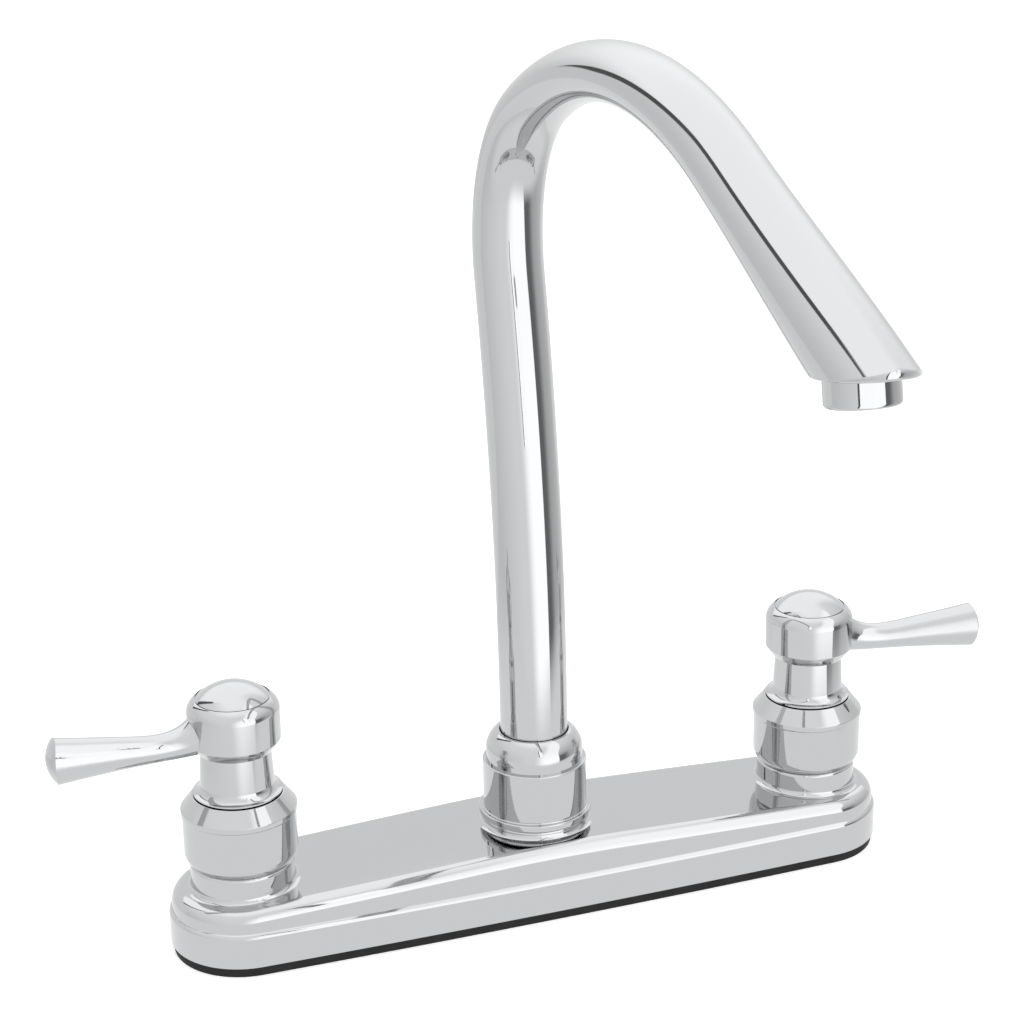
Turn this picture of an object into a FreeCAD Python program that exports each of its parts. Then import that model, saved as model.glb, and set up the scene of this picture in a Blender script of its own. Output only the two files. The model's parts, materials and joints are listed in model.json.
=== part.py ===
# Two handle kitchen faucet on a deck plate, in millimetres.
# Origin: on the deck, on the spout's axis. X runs along the plate, the spout points to -Y, Z is up.
import FreeCAD
import Part
import math
import os
import Sketcher
from FreeCAD import Placement, Rotation, Vector
from types import SimpleNamespace

# Driving sizes: alias, value, what it is.
SIZES = [
    ("HandleSpacing", 203.2, "between the two valve axes, 8 inches"),
    ("SlipGap", 0.3, "gap between pieces that move past each other"),
    ("FitGap", 0.05, "radial clearance of a turned fit"),
    ("EdgeRounding", 0.4, "rounding of the polished edges"),
    # deck plate and gasket
    ("GasketThickness", 3.4, "gasket under the plate"),
    ("ShankHole", 12.0, "hole in the gasket for a shank"),
    ("GasketInset", 0.9, "how far the gasket lies inside the plate's edge"),
    ("PlateEndRadius", 24.6, "round end of the plate"),
    ("PlateSwell", 1.3, "how much wider the plate is at its middle, per side"),
    ("PlateWall", 2.6, "wall of the cast plate"),
    ("BandTop", 15.0, "top of the plate's lower band"),
    ("BandStep", 1.1, "ledge above the lower band"),
    ("BeadRounding", 0.7, "rounding of that ledge"),
    ("PlateEndHeight", 22.4, "plate top over a valve axis"),
    ("PlateCrown", 4.1, "rise of the plate top from there to the middle"),
    ("CrownHalfLength", 26.0, "half length of the rounded crown"),
    ("ShoulderRadius", 4.4, "rounding of the plate's top edge"),
    ("CavityTop", 19.0, "roof of the hollow under the plate"),
    ("BossRadius", 16.9, "round boss under a bonnet"),
    ("BossTop", 31.0, "top of that boss"),
    ("BossFillet", 1.4, "fillet round the bosses"),
    ("HubBossRadius", 17.6, "round boss under the spout nut"),
    ("HubBossTop", 29.0, "top of that boss"),
    # valve body, shank and deck fastening
    ("ShankRadius", 10.4, "half inch pipe thread of the shank"),
    ("ShankEnd", -52.0, "lower end of the shank"),
    ("ReliefTop", -34.0, "groove that sets off the supply end"),
    ("ReliefWidth", 2.0, "width of that groove"),
    ("ReliefDepth", 1.0, "depth of that groove"),
    ("WaterBore", 5.5, "radius of the water bore in the shank"),
    ("BodyFlangeRadius", 14.6, "flange of the valve body under the plate"),
    ("BodyRadius", 11.5, "upper valve body, threaded"),
    ("BodyTop", 44.0, "top of the valve body"),
    ("ChamberRadius", 9.2, "bore for the cartridge"),
    ("SeatHeight", 8.0, "floor of the chamber"),
    ("LockNutHeight", 3.6, "nut that holds the plate on the valve body"),
    ("LockNutRadius", 14.4, "across its corners"),
    ("WasherTop", -16.0, "top of the deck washer"),
    ("WasherThickness", 1.8, "deck washer"),
    ("WasherRadius", 19.0, "deck washer"),
    ("ShankNutRadius", 16.6, "deck nut across corners"),
    ("ShankNutHeight", 8.0, "deck nut"),
    # waterways
    ("TubeLevel", 11.6, "height of the cross tubes"),
    ("TubeRadius", 4.75, "three eighths copper tube"),
    ("TubeWall", 0.8, "its wall"),
    ("PortRadius", 6.6, "boss that holds a tube end"),
    ("PortReach", 18.5, "end of that boss from its own axis"),
    ("TubeSocketDepth", 6.0, "how far a tube goes into its boss"),
    # cartridge
    ("SealThickness", 2.0, "rubber seat seal"),
    ("DiscRadius", 8.2, "ceramic discs"),
    ("DiscThickness", 2.5, "each ceramic disc"),
    ("DiscGap", 0.1, "between the two discs"),
    ("DiscPort", 2.1, "radius of a port in a disc"),
    ("PortOffset", 4.4, "port from the axis"),
    ("CartridgeFlange", 10.9, "cartridge collar on top of the valve body"),
    ("CollarTop", 50.0, "top of that collar"),
    ("StemRadius", 4.6, "stem in its cartridge"),
    ("SplineRadius", 3.9, "splined end of the stem"),
    ("SplineTeeth", 12, "teeth of the spline"),
    ("CarrierHeight", 3.6, "plate of the stem that turns the disc"),
    ("StemSealLevel", 36.0, "O-ring of the stem"),
    ("StemSealWire", 1.1, "radius of its rubber"),
    # bonnet
    ("BonnetFoot", 16.85, "foot of the bonnet"),
    ("BonnetRadius", 18.45, "body of the bonnet"),
    ("BonnetLip", 18.8, "lip round its top"),
    ("BonnetTaperTop", 35.0, "where the tapered foot ends"),
    ("BonnetBodyTop", 47.8, "where the lip starts"),
    ("BonnetLipTop", 49.8, "top of the lip"),
    ("BonnetMouthRadius", 14.9, "rim of the sloping top"),
    ("BonnetTop", 54.6, "top of the bonnet"),
    ("BonnetThreadLow", 36.4, "bottom of the bonnet's inner thread"),
    ("BonnetThreadTop", 43.0, "top of the bonnet's inner thread"),
    ("BonnetHollow", 12.2, "radius round the cartridge collar"),
    ("BonnetOpening", 7.0, "opening for the stem"),
    # handle
    ("SkirtFoot", 55.0, "lower rim of the handle's skirt"),
    ("SkirtRim", 14.4, "radius of that rim"),
    ("SkirtRimHeight", 0.5, "height of the rim's edge"),
    ("SkirtFlareTop", 58.3, "top of the flare"),
    ("SkirtFlareCurve", 3.4, "radius of the flare's hollow curve"),
    ("SkirtLow", 12.0, "neck above the flare"),
    ("SkirtHigh", 11.4, "neck under the knob"),
    ("SkirtHollow", 9.6, "radius inside the skirt"),
    ("KnobFoot", 69.8, "lower face of the knob"),
    ("KnobFootRadius", 12.3, "radius of that face"),
    ("KnobLow", 73.3, "top of the knob's tapered foot"),
    ("KnobRadius", 14.85, "knob"),
    ("KnobShoulder", 83.0, "where the knob's shoulder starts"),
    ("KnobTop", 85.8, "rim under the cap"),
    ("CapRadius", 11.9, "domed cap"),
    ("CapRise", 6.1, "height of the dome"),
    ("CapPlugRadius", 7.6, "plug of the cap"),
    ("CapPlugDepth", 4.4, "length of that plug"),
    ("CapPlugHollow", 2.4, "thickness above its hollow"),
    ("CapPlugWall", 1.2, "wall round its hollow"),
    ("CapEdge", 0.6, "height of the cap's edge in the knob"),
    ("CapGroove", 0.2, "groove round the cap"),
    ("ScrewSeat", 76.0, "floor of the screw recess"),
    ("ScrewHeadRadius", 3.6, "handle screw"),
    ("ScrewHeadHeight", 2.4, "handle screw"),
    ("ScrewRadius", 2.0, "handle screw"),
    ("ScrewLength", 14.0, "under its head"),
    ("StemTop", 73.0, "top of the stem"),
    ("StemShoulder", 61.0, "foot of the spline"),
    # lever: places from the axis, heights and widths of its oval section
    ("LeverRootHeight", 13.2, "lever where it enters the knob"),
    ("LeverRootLevel", 76.8, "centre height there"),
    ("LeverNeckHeight", 9.1, "thinnest place"),
    ("LeverEndHeight", 15.4, "paddle end"),
    ("LeverEndWidth", 12.0, "paddle end"),
    ("LeverNeckWidth", 8.8, "thinnest place"),
    ("LeverNeckAt", 26.0, "thinnest place from the axis"),
    ("LeverEndAt", 57.3, "edge of the end face from the axis"),
    ("LeverEndBulge", 3.1, "bulge of the end face"),
    ("LeverNeckLevel", 74.4, "centre height of the neck"),
    ("LeverRise", 2.0, "how far the end lies above the neck"),
    ("LeftLeverTurn", 3.0, "degrees forward of straight out, as it is fitted"),
    ("RightLeverTurn", 12.0, "degrees forward of straight out, as it is fitted"),
    # spout nut and socket
    ("NutFoot", 29.3, "underside of the spout nut"),
    ("NutFlange", 18.9, "flange at its foot"),
    ("NutFlangeTop", 31.6, "top of that flange"),
    ("NutRadius", 17.4, "body of the nut"),
    ("NutBodyTop", 48.8, "top of the body"),
    ("NutDomeRadius", 16.2, "foot of the dome"),
    ("NutDomeLow", 51.0, "height of the dome's foot"),
    ("NutMouthRadius", 12.6, "rim round the spout"),
    ("NutTop", 59.0, "top of the nut"),
    ("NutDomeCurve", 8.5, "radius of the dome's curve"),
    ("SocketNeck", 14.3, "threaded neck of the socket"),
    ("SocketFlange", 17.0, "flange of the socket under the plate"),
    ("SocketFlangeHeight", 3.5, "its thickness"),
    ("SocketTop", 45.2, "top of the neck"),
    ("SocketBore", 12.4, "bore that the spout turns in"),
    ("SocketFloor", 22.0, "floor of that bore"),
    ("SocketFoot", 4.4, "underside of the socket"),
    ("SocketWaterBore", 7.5, "water chamber of the socket"),
    ("BushingFoot", 23.0, "lower end of the bushing"),
    ("BushingFlange", 13.5, "flange of the bushing"),
    ("BushingFlangeHeight", 2.2, "its thickness"),
    ("BushingBore", 7.5, "waterway of the bushing"),
    ("SpoutSealWire", 1.3, "radius of an O-ring's rubber"),
    ("SpoutSealLow", 28.0, "lower O-ring"),
    ("SpoutSealPitch", 7.0, "between the O-rings"),
    ("SlipRingThickness", 1.4, "nylon ring under the nut"),
    # spout tube
    ("TubeSpoutWall", 1.2, "wall of the spout"),
    ("RiserFoot", 57.5, "where the riser starts to lean"),
    ("RiserTop", 210.3, "where the tight bend starts"),
    ("RiserLean", 12.3, "lean of the riser there, degrees"),
    ("BendRadius", 54.0, "tight bend"),
    ("BendAngle", 73.0, "degrees of the tight bend"),
    ("SweepRadius", 150.0, "wide bend after it"),
    ("LegSlope", 24.2, "slope of the leg, degrees under level"),
    ("LegLength", 83.3, "straight leg to the outlet's centre"),
    ("FootRadius", 11.35, "riser at its foot"),
    ("RiserTopRadius", 11.55, "half width at the top of the riser"),
    ("CrownRadius", 11.25, "half width at the end of the tight bend"),
    ("LegTopRadius", 9.95, "half width at the top of the leg"),
    ("OutletRadius", 11.1, "half width at the outlet"),
    ("RiserTopFlat", 1.05, "how much thinner than wide, per side, at the top of the riser"),
    ("CrownFlat", 2.6, "the same at the end of the tight bend"),
    ("LegTopFlat", 1.0, "the same at the top of the leg"),
    ("OutletTilt", 11.0, "degrees that the outlet face tips up at the front"),
    ("OutletPlate", 3.0, "thickness of the end behind the outlet face"),
    ("OutletRounding", 1.5, "rounding of the edge round the outlet face"),
    # aerator
    ("AeratorSetback", 2.2, "axis of the collar behind the middle of the outlet face"),
    ("AeratorRadius", 9.15, "collar"),
    ("AeratorHeight", 7.0, "collar below the outlet face"),
    ("AeratorEdge", 1.2, "rounding of its lower edge"),
    ("AeratorThread", 8.4, "thread that goes into the outlet"),
    ("AeratorThreadHeight", 5.0, "length of that thread"),
    ("AeratorBore", 7.0, "bore of the collar"),
    ("AeratorMouth", 6.2, "opening at its lower end"),
    ("AeratorLip", 1.2, "thickness of the lip under the insert"),
    ("InsertHeight", 5.0, "flow insert"),
    ("InsertHole", 0.6, "its holes"),
    ("InsertRing", 4.0, "ring of holes"),
    ("InsertHoles", 10, "holes in the ring"),
    ("WasherWall", 1.8, "rubber washer over the insert"),
    ("WasherHeight", 1.6, "rubber washer over the insert"),
]


# The lever starts this share of the knob's radius from its axis.
LEVER_ROOT_DEPTH = 0.9
# Distance between the sections that the spout is lofted through.
STATION_STEP = 14.0
# The spout runs on past its outlet's centre by this many outlet radii before it is cut.
OUTLET_RUN_ON = 1.5


# A length that knows its value and the sheet expression it comes from.
class Size:
    def __init__(self, value, text):
        self.value = float(value)
        self.text = text

    def joined(self, other, sign, value, swap=False):
        text = other.text if isinstance(other, Size) else repr(float(other))
        first, second = (text, self.text) if swap else (self.text, text)
        return Size(value, f"({first} {sign} {second})")

    def __add__(self, other):
        return self.joined(other, "+", self.value + number(other))

    def __radd__(self, other):
        return self.joined(other, "+", number(other) + self.value, swap=True)

    def __sub__(self, other):
        return self.joined(other, "-", self.value - number(other))

    def __rsub__(self, other):
        return self.joined(other, "-", number(other) - self.value, swap=True)

    def __mul__(self, other):
        return self.joined(other, "*", self.value * number(other))

    def __rmul__(self, other):
        return self.joined(other, "*", number(other) * self.value, swap=True)

    def __truediv__(self, other):
        return self.joined(other, "/", self.value / number(other))

    def __neg__(self):
        return Size(-self.value, f"(-{self.text})")


def number(length):
    return length.value if isinstance(length, Size) else float(length)


NONE = Size(0, "0")


doc = FreeCAD.newDocument("Faucet")
sheet = doc.addObject("Spreadsheet::Sheet", "Sizes")
for row, (alias, value, meaning) in enumerate(SIZES, start=1):
    sheet.set(f"A{row}", meaning)
    sheet.set(f"B{row}", str(value))
    sheet.setAlias(f"B{row}", alias)
doc.recompute()
s = SimpleNamespace(**{alias: Size(value, f"Sizes.{alias}") for alias, value, _ in SIZES})
half_spacing = s.HandleSpacing / 2
plate_half_width = s.PlateEndRadius + s.PlateSwell
SIDES = {"left": -1, "right": 1}
nodes = {}


def bind(item, path, length):
    if isinstance(length, Size):
        item.setExpression(path, length.text)


def keep(item, label):
    item.Label = label
    nodes[label] = item
    return item


def new_body(label):
    return doc.addObject("PartDesign::Body", label)


def new_sketch(body, role, name, level=0.0):
    plane = next(item for item in body.Origin.OriginFeatures if item.Role == role)
    sketch = body.newObject("Sketcher::SketchObject", name)
    sketch.AttachmentSupport = [(plane, "")]
    sketch.MapMode = "FlatFace"
    sketch.AttachmentOffset = Placement(Vector(0, 0, number(level)), Rotation())
    bind(sketch, "AttachmentOffset.Base.z", level)
    return sketch


def constrain(sketch, kind, where, length):
    index = sketch.addConstraint(Sketcher.Constraint(kind, *where, number(length)))
    bind(sketch, f"Constraints[{index}]", length)


def arc_centre(start, end, radius):
    chord = end - start
    side = Vector(-chord.y, chord.x, 0).normalize()
    rise = math.sqrt(max(radius ** 2 - (chord.Length / 2) ** 2, 0.0))
    return (start + end) / 2 + side * math.copysign(rise, radius)


# Draws a closed outline. A corner is (x, y) or (x, y, radius): the radius bends the edge that
# leaves the corner, to the left of its way when the radius is above zero.
def draw_outline(sketch, corners):
    places = [Vector(number(corner[0]), number(corner[1]), 0) for corner in corners]
    up = Vector(0, 0, 1)
    for index, corner in enumerate(corners):
        start = places[index]
        end = places[(index + 1) % len(places)]
        if len(corner) == 2:
            sketch.addGeometry(Part.LineSegment(start, end), False)
            continue
        radius = number(corner[2])
        centre = arc_centre(start, end, radius)
        ways = [math.atan2(place.y - centre.y, place.x - centre.x) for place in (start, end)]
        if radius < 0:
            ways.reverse()
        circle = Part.Circle(centre, up, abs(radius))
        sketch.addGeometry(Part.ArcOfCircle(circle, ways[0], ways[1]), False)
    starts = [2 if len(corner) == 3 and number(corner[2]) < 0 else 1 for corner in corners]
    for index, corner in enumerate(corners):
        after = (index + 1) % len(corners)
        end = 3 - starts[index]
        sketch.addConstraint(Sketcher.Constraint("Coincident", index, end, after, starts[after]))
    for index, corner in enumerate(corners):
        x, y = corner[:2]
        edge, point = index, starts[index]
        for kind, length, axis in (("DistanceX", x, -2), ("DistanceY", y, -1)):
            if isinstance(length, Size) or length != 0:
                constrain(sketch, kind, (-1, 1, edge, point), length)
            else:
                sketch.addConstraint(Sketcher.Constraint("PointOnObject", edge, point, axis))
        if len(corner) == 3:
            radius = corner[2] if number(corner[2]) > 0 else -corner[2]
            constrain(sketch, "Radius", (index,), radius)


# Turns a profile of (radius, height) corners about the body's Z axis.
def turn(body, corners, name="Profile", cut=False):
    sketch = new_sketch(body, "XZ_Plane", f"{body.Name}{name}")
    draw_outline(sketch, corners)
    kind = "PartDesign::Groove" if cut else "PartDesign::Revolution"
    feature = body.newObject(kind, f"{body.Name}{name}Turn")
    feature.Profile = sketch
    feature.ReferenceAxis = (sketch, ["V_Axis"])
    feature.Angle = 360
    body.Tip = feature
    return feature


def turned_body(label, corners):
    body = new_body(label)
    turn(body, corners)
    return body


def draw_circle(sketch, radius, x=0.0, y=0.0):
    circle = Part.Circle(Vector(number(x), number(y), 0), Vector(0, 0, 1), number(radius))
    index = sketch.addGeometry(circle, False)
    constrain(sketch, "Radius", (index,), radius)
    for kind, length, axis in (("DistanceX", x, -2), ("DistanceY", y, -1)):
        if isinstance(length, Size) or length != 0:
            constrain(sketch, kind, (-1, 1, index, 3), length)
        else:
            sketch.addConstraint(Sketcher.Constraint("PointOnObject", index, 3, axis))


def pad(body, sketch, length, name="Pad", up=True):
    feature = body.newObject("PartDesign::Pad", f"{body.Name}{name}")
    feature.Profile = sketch
    feature.Length = number(length)
    bind(feature, "Length", length)
    feature.Reversed = not up
    body.Tip = feature
    return feature


# Cuts from the sketch, upward along its normal unless told otherwise.
def pocket(body, sketch, length, name="Pocket", up=True, both=False):
    feature = body.newObject("PartDesign::Pocket", f"{body.Name}{name}")
    feature.Profile = sketch
    feature.Length = number(length)
    bind(feature, "Length", length)
    feature.Reversed = up and not both
    feature.Midplane = both
    body.Tip = feature
    return feature


def fillet_edges(body, picks, radius, name):
    doc.recompute()
    base = body.Tip
    names = [f"Edge{index}" for index, edge in enumerate(base.Shape.Edges, start=1) if picks(edge)]
    feature = body.newObject("PartDesign::Fillet", f"{body.Name}{name}")
    feature.Base = (base, names)
    feature.Radius = number(radius)
    bind(feature, "Radius", radius)
    body.Tip = feature
    return feature


# Rounds the edges of a turned body that are circles of the given (radius, height).
def soften(body, circles, radius, name="Softened"):
    def picks(edge):
        curve = edge.Curve
        if not isinstance(curve, Part.Circle):
            return False
        return any(abs(curve.Radius - number(wide)) < 0.01 and abs(curve.Center.z - number(high)) < 0.01
                   for wide, high in circles)

    return fillet_edges(body, picks, radius, name)


def place(item, x=0.0, y=0.0, z=0.0, turn_angle=0.0, axis=(0, 0, 1)):
    spin = Rotation(Vector(*axis), number(turn_angle))
    item.Placement = Placement(Vector(number(x), number(y), number(z)), spin)
    for path, length in (("x", x), ("y", y), ("z", z)):
        bind(item, f"Placement.Base.{path}", length)
    bind(item, "Placement.Rotation.Angle", turn_angle)
    return item


# A ring of rectangular section.
def ring(label, inner, outer, low, high):
    return turned_body(label, [(inner, low), (outer, low), (outer, high), (inner, high)])


def o_ring(label, radius, wire, level):
    body = new_body(label)
    sketch = new_sketch(body, "XZ_Plane", f"{label}Section")
    draw_circle(sketch, wire, radius, level)
    feature = body.newObject("PartDesign::Revolution", f"{label}Turn")
    feature.Profile = sketch
    feature.ReferenceAxis = (sketch, ["V_Axis"])
    feature.Angle = 360
    body.Tip = feature
    return body


def primitive(kind, name, **sizes):
    item = doc.addObject(kind, name)
    for key, length in sizes.items():
        setattr(item, key, number(length))
        bind(item, key, length)
    return item


def group(label, items):
    item = doc.addObject("Part::Compound", label)
    item.Links = items
    return keep(item, label)


def fused(label, items):
    item = doc.addObject("Part::MultiFuse", label)
    item.Shapes = items
    return item


def cut(label, base, tool):
    item = doc.addObject("Part::Cut", label)
    item.Base = base
    item.Tool = tool
    return item


# ---- plate and gasket ----

# The plate's outline, or one parallel to it: two round ends joined by two wide arcs.
def draw_plate_outline(sketch, inset):
    end = s.PlateEndRadius - inset
    middle = plate_half_width - inset
    reach = half_spacing
    side = (reach * reach + plate_half_width * plate_half_width
            - s.PlateEndRadius * s.PlateEndRadius) / (2 * s.PlateSwell) - inset
    up = Vector(0, 0, 1)
    drop = number(side) - number(middle)
    lean = math.atan2(number(reach), drop)
    quarter = math.pi / 2
    arcs = [
        (number(reach), 0, number(end), lean - quarter, quarter - lean),
        (0, -drop, number(side), quarter - lean, quarter + lean),
        (-number(reach), 0, number(end), quarter + lean, 3 * quarter - lean),
        (0, drop, number(side), 3 * quarter - lean, 3 * quarter + lean),
    ]
    for x, y, radius, first, last in arcs:
        sketch.addGeometry(Part.ArcOfCircle(Part.Circle(Vector(x, y, 0), up, radius), first, last), False)
    for index in range(4):
        sketch.addConstraint(Sketcher.Constraint("Tangent", index, 2, (index + 1) % 4, 1))
    for index, x in ((0, reach), (2, -reach)):
        constrain(sketch, "DistanceX", (-1, 1, index, 3), x)
        sketch.addConstraint(Sketcher.Constraint("PointOnObject", index, 3, -1))
        constrain(sketch, "Radius", (index,), end)
    for index in (1, 3):
        constrain(sketch, "Radius", (index,), side)


# Cuts the plate's top to its low arch: two straight flanks and a rounded crown.
def cut_arch(body):
    sketch = new_sketch(body, "XZ_Plane", "ArchLine")
    slope = s.PlateCrown / half_spacing
    reach = half_spacing + s.PlateEndRadius
    peak = s.PlateEndHeight + s.PlateCrown
    crown_low = peak - slope * s.CrownHalfLength
    end_low = s.PlateEndHeight - slope * s.PlateEndRadius
    crown_curve = s.CrownHalfLength / slope
    clear = peak + s.PlateCrown
    draw_outline(sketch, [
        (-reach, end_low),
        (-s.CrownHalfLength, crown_low, -crown_curve),
        (s.CrownHalfLength, crown_low),
        (reach, end_low),
        (reach, clear),
        (-reach, clear),
    ])
    pocket(body, sketch, 4 * plate_half_width, "Arch", both=True)


def build_plate():
    body = new_body("base_plate")
    lower = new_sketch(body, "XY_Plane", "BandOutline", s.GasketThickness)
    draw_plate_outline(lower, NONE)
    pad(body, lower, s.BandTop - s.GasketThickness, "Band")
    upper = new_sketch(body, "XY_Plane", "UpperOutline", s.GasketThickness)
    draw_plate_outline(upper, s.BandStep)
    pad(body, upper, s.PlateEndHeight + s.PlateCrown - s.GasketThickness, "Upper")
    cut_arch(body)
    below_top = number(s.PlateEndHeight - s.PlateCrown)
    fillet_edges(body, lambda edge: lies_along(edge, below_top), s.ShoulderRadius, "Shoulder")
    fillet_edges(body, is_band_edge, s.BeadRounding, "Bead")
    bosses = new_sketch(body, "XY_Plane", "BossCircles", s.CavityTop)
    for side in SIDES.values():
        draw_circle(bosses, s.BossRadius, side * half_spacing)
    pad(body, bosses, s.BossTop - s.CavityTop, "Bosses")
    hub = new_sketch(body, "XY_Plane", "HubCircle", s.CavityTop)
    draw_circle(hub, s.HubBossRadius)
    pad(body, hub, s.HubBossTop - s.CavityTop, "HubBoss")
    fillet_edges(body, is_boss_root, s.BossFillet, "BossRoot")
    hollow = new_sketch(body, "XY_Plane", "HollowOutline", s.GasketThickness)
    draw_plate_outline(hollow, s.BandStep + s.PlateWall)
    pocket(body, hollow, s.CavityTop - s.GasketThickness, "Hollow")
    holes = new_sketch(body, "XY_Plane", "Holes", s.GasketThickness)
    for side in SIDES.values():
        draw_circle(holes, s.BodyRadius + s.SlipGap, side * half_spacing)
    draw_circle(holes, s.SocketNeck + s.SlipGap)
    pocket(body, holes, s.BossTop, "Bores")
    return keep(body, "base_plate")


# An edge along the plate's rim: it runs along X above the given height.
def lies_along(edge, height):
    ends = [vertex.Point for vertex in edge.Vertexes]
    return len(ends) == 2 and min(end.z for end in ends) > height and abs(ends[0].x - ends[1].x) > 1


# The outer rim of the plate's lower band.
def is_band_edge(edge):
    box = edge.BoundBox
    if abs(box.ZMin - number(s.BandTop)) > 0.01 or abs(box.ZMax - number(s.BandTop)) > 0.01:
        return False
    middle = edge.valueAt((edge.FirstParameter + edge.LastParameter) / 2)
    at_end = abs(middle.x) > number(half_spacing + s.PlateEndRadius - s.BandStep / 2)
    return at_end or abs(middle.y) > number(plate_half_width - s.BandStep / 2)


# The curve where a boss meets the plate's top.
def is_boss_root(edge):
    box = edge.BoundBox
    centre = box.Center
    roots = [(0.0, s.HubBossRadius, s.HubBossTop)]
    roots += [(number(side * half_spacing), s.BossRadius, s.BossTop) for side in SIDES.values()]
    for x, radius, top in roots:
        middle = edge.valueAt((edge.FirstParameter + edge.LastParameter) / 2)
        away = math.hypot(middle.x - x, middle.y)
        wide = max(box.XLength, box.YLength)
        if abs(away - number(radius)) < 0.01 and wide > 1 and box.ZMax < number(top) - 0.5:
            if box.ZMin > number(s.CavityTop) + 0.5 and abs(centre.x - x) < number(radius):
                return True
    return False


def build_gasket():
    body = new_body("base_gasket")
    sheet_outline = new_sketch(body, "XY_Plane", "GasketOutline")
    draw_plate_outline(sheet_outline, s.GasketInset)
    pad(body, sheet_outline, s.GasketThickness)
    holes = new_sketch(body, "XY_Plane", "GasketHoles")
    for side in SIDES.values():
        draw_circle(holes, s.ShankHole, side * half_spacing)
    pocket(body, holes, s.GasketThickness, "ShankHoles")
    return keep(body, "base_gasket")


# ---- one valve ----

# A short boss along X that holds the end of a cross tube, from the axis to its open end.
def tube_port(body, way, reach, inner):
    port = new_sketch(body, "YZ_Plane", f"{body.Name}PortCircle")
    draw_circle(port, s.PortRadius, 0.0, s.TubeLevel)
    pad(body, port, reach, "Port", up=way > 0)
    socket = new_sketch(body, "YZ_Plane", f"{body.Name}SocketCircle", way * (reach - s.TubeSocketDepth))
    draw_circle(socket, s.TubeRadius + s.FitGap, 0.0, s.TubeLevel)
    pocket(body, socket, s.TubeSocketDepth, "Socket", up=way > 0)
    water = new_sketch(body, "YZ_Plane", f"{body.Name}WaterCircle", way * inner)
    draw_circle(water, s.TubeRadius - s.TubeWall, 0.0, s.TubeLevel)
    pocket(body, water, reach - inner, "Water", up=way > 0)


def build_valve_body(side, way):
    flange_low = s.GasketThickness + s.SlipGap
    flange_high = s.CavityTop - s.FitGap
    body = turned_body(f"{side}_valve_body", [
        (0, s.ShankEnd),
        (s.ShankRadius, s.ShankEnd),
        (s.ShankRadius, s.ReliefTop - s.ReliefWidth),
        (s.ShankRadius - s.ReliefDepth, s.ReliefTop - s.ReliefWidth),
        (s.ShankRadius - s.ReliefDepth, s.ReliefTop),
        (s.ShankRadius, s.ReliefTop),
        (s.ShankRadius, flange_low),
        (s.BodyFlangeRadius, flange_low),
        (s.BodyFlangeRadius, flange_high),
        (s.BodyRadius, flange_high),
        (s.BodyRadius, s.BodyTop),
        (0, s.BodyTop),
    ])
    tube_port(body, -way, s.PortReach, s.ChamberRadius / 2)
    turn(body, [
        (0, s.ShankEnd),
        (s.WaterBore, s.ShankEnd),
        (s.WaterBore, s.SeatHeight),
        (s.ChamberRadius, s.SeatHeight),
        (s.ChamberRadius, s.BodyTop),
        (0, s.BodyTop),
    ], "Bore", cut=True)
    place(body, way * half_spacing)
    return keep(body, f"{side}_valve_body")


def seal_top():
    return s.SeatHeight + s.SealThickness


def moving_disc_low():
    return seal_top() + s.DiscThickness + s.DiscGap


def carrier_low():
    return moving_disc_low() + s.DiscThickness


# A ceramic disc with two round ports.
def build_disc(label, low, way, spin):
    body = new_body(label)
    face = new_sketch(body, "XY_Plane", f"{label}Face", low)
    draw_circle(face, s.DiscRadius)
    pad(body, face, s.DiscThickness)
    ports = new_sketch(body, "XY_Plane", f"{label}Ports", low)
    for offset in (s.PortOffset, -s.PortOffset):
        draw_circle(ports, s.DiscPort, offset)
    pocket(body, ports, s.DiscThickness, "Ports")
    place(body, way * half_spacing, turn_angle=spin)
    return keep(body, label)


def build_cartridge(side, way):
    sleeve = s.ChamberRadius - s.FitGap
    disc_room = s.DiscRadius + s.SlipGap
    roof = carrier_low() + s.CarrierHeight + s.SlipGap
    groove = s.StemRadius + s.StemSealWire * 2 - s.FitGap
    low = s.SeatHeight + s.SealThickness + s.DiscThickness
    body = turned_body(f"{side}_cartridge", [
        (disc_room, low),
        (sleeve, low),
        (sleeve, s.BodyTop),
        (s.CartridgeFlange, s.BodyTop),
        (s.CartridgeFlange, s.CollarTop),
        (s.StemRadius + s.FitGap, s.CollarTop),
        (s.StemRadius + s.FitGap, s.StemSealLevel + s.StemSealWire),
        (groove, s.StemSealLevel + s.StemSealWire),
        (groove, s.StemSealLevel - s.StemSealWire),
        (s.StemRadius + s.FitGap, s.StemSealLevel - s.StemSealWire),
        (s.StemRadius + s.FitGap, roof),
        (disc_room, roof),
    ])
    window = new_sketch(body, "YZ_Plane", f"{side}WindowCircle")
    draw_circle(window, s.TubeRadius - s.TubeWall, 0.0, s.TubeLevel + s.DiscThickness)
    pocket(body, window, 2 * s.ChamberRadius, "Window", up=way < 0)
    place(body, way * half_spacing)
    return keep(body, f"{side}_cartridge")


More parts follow.
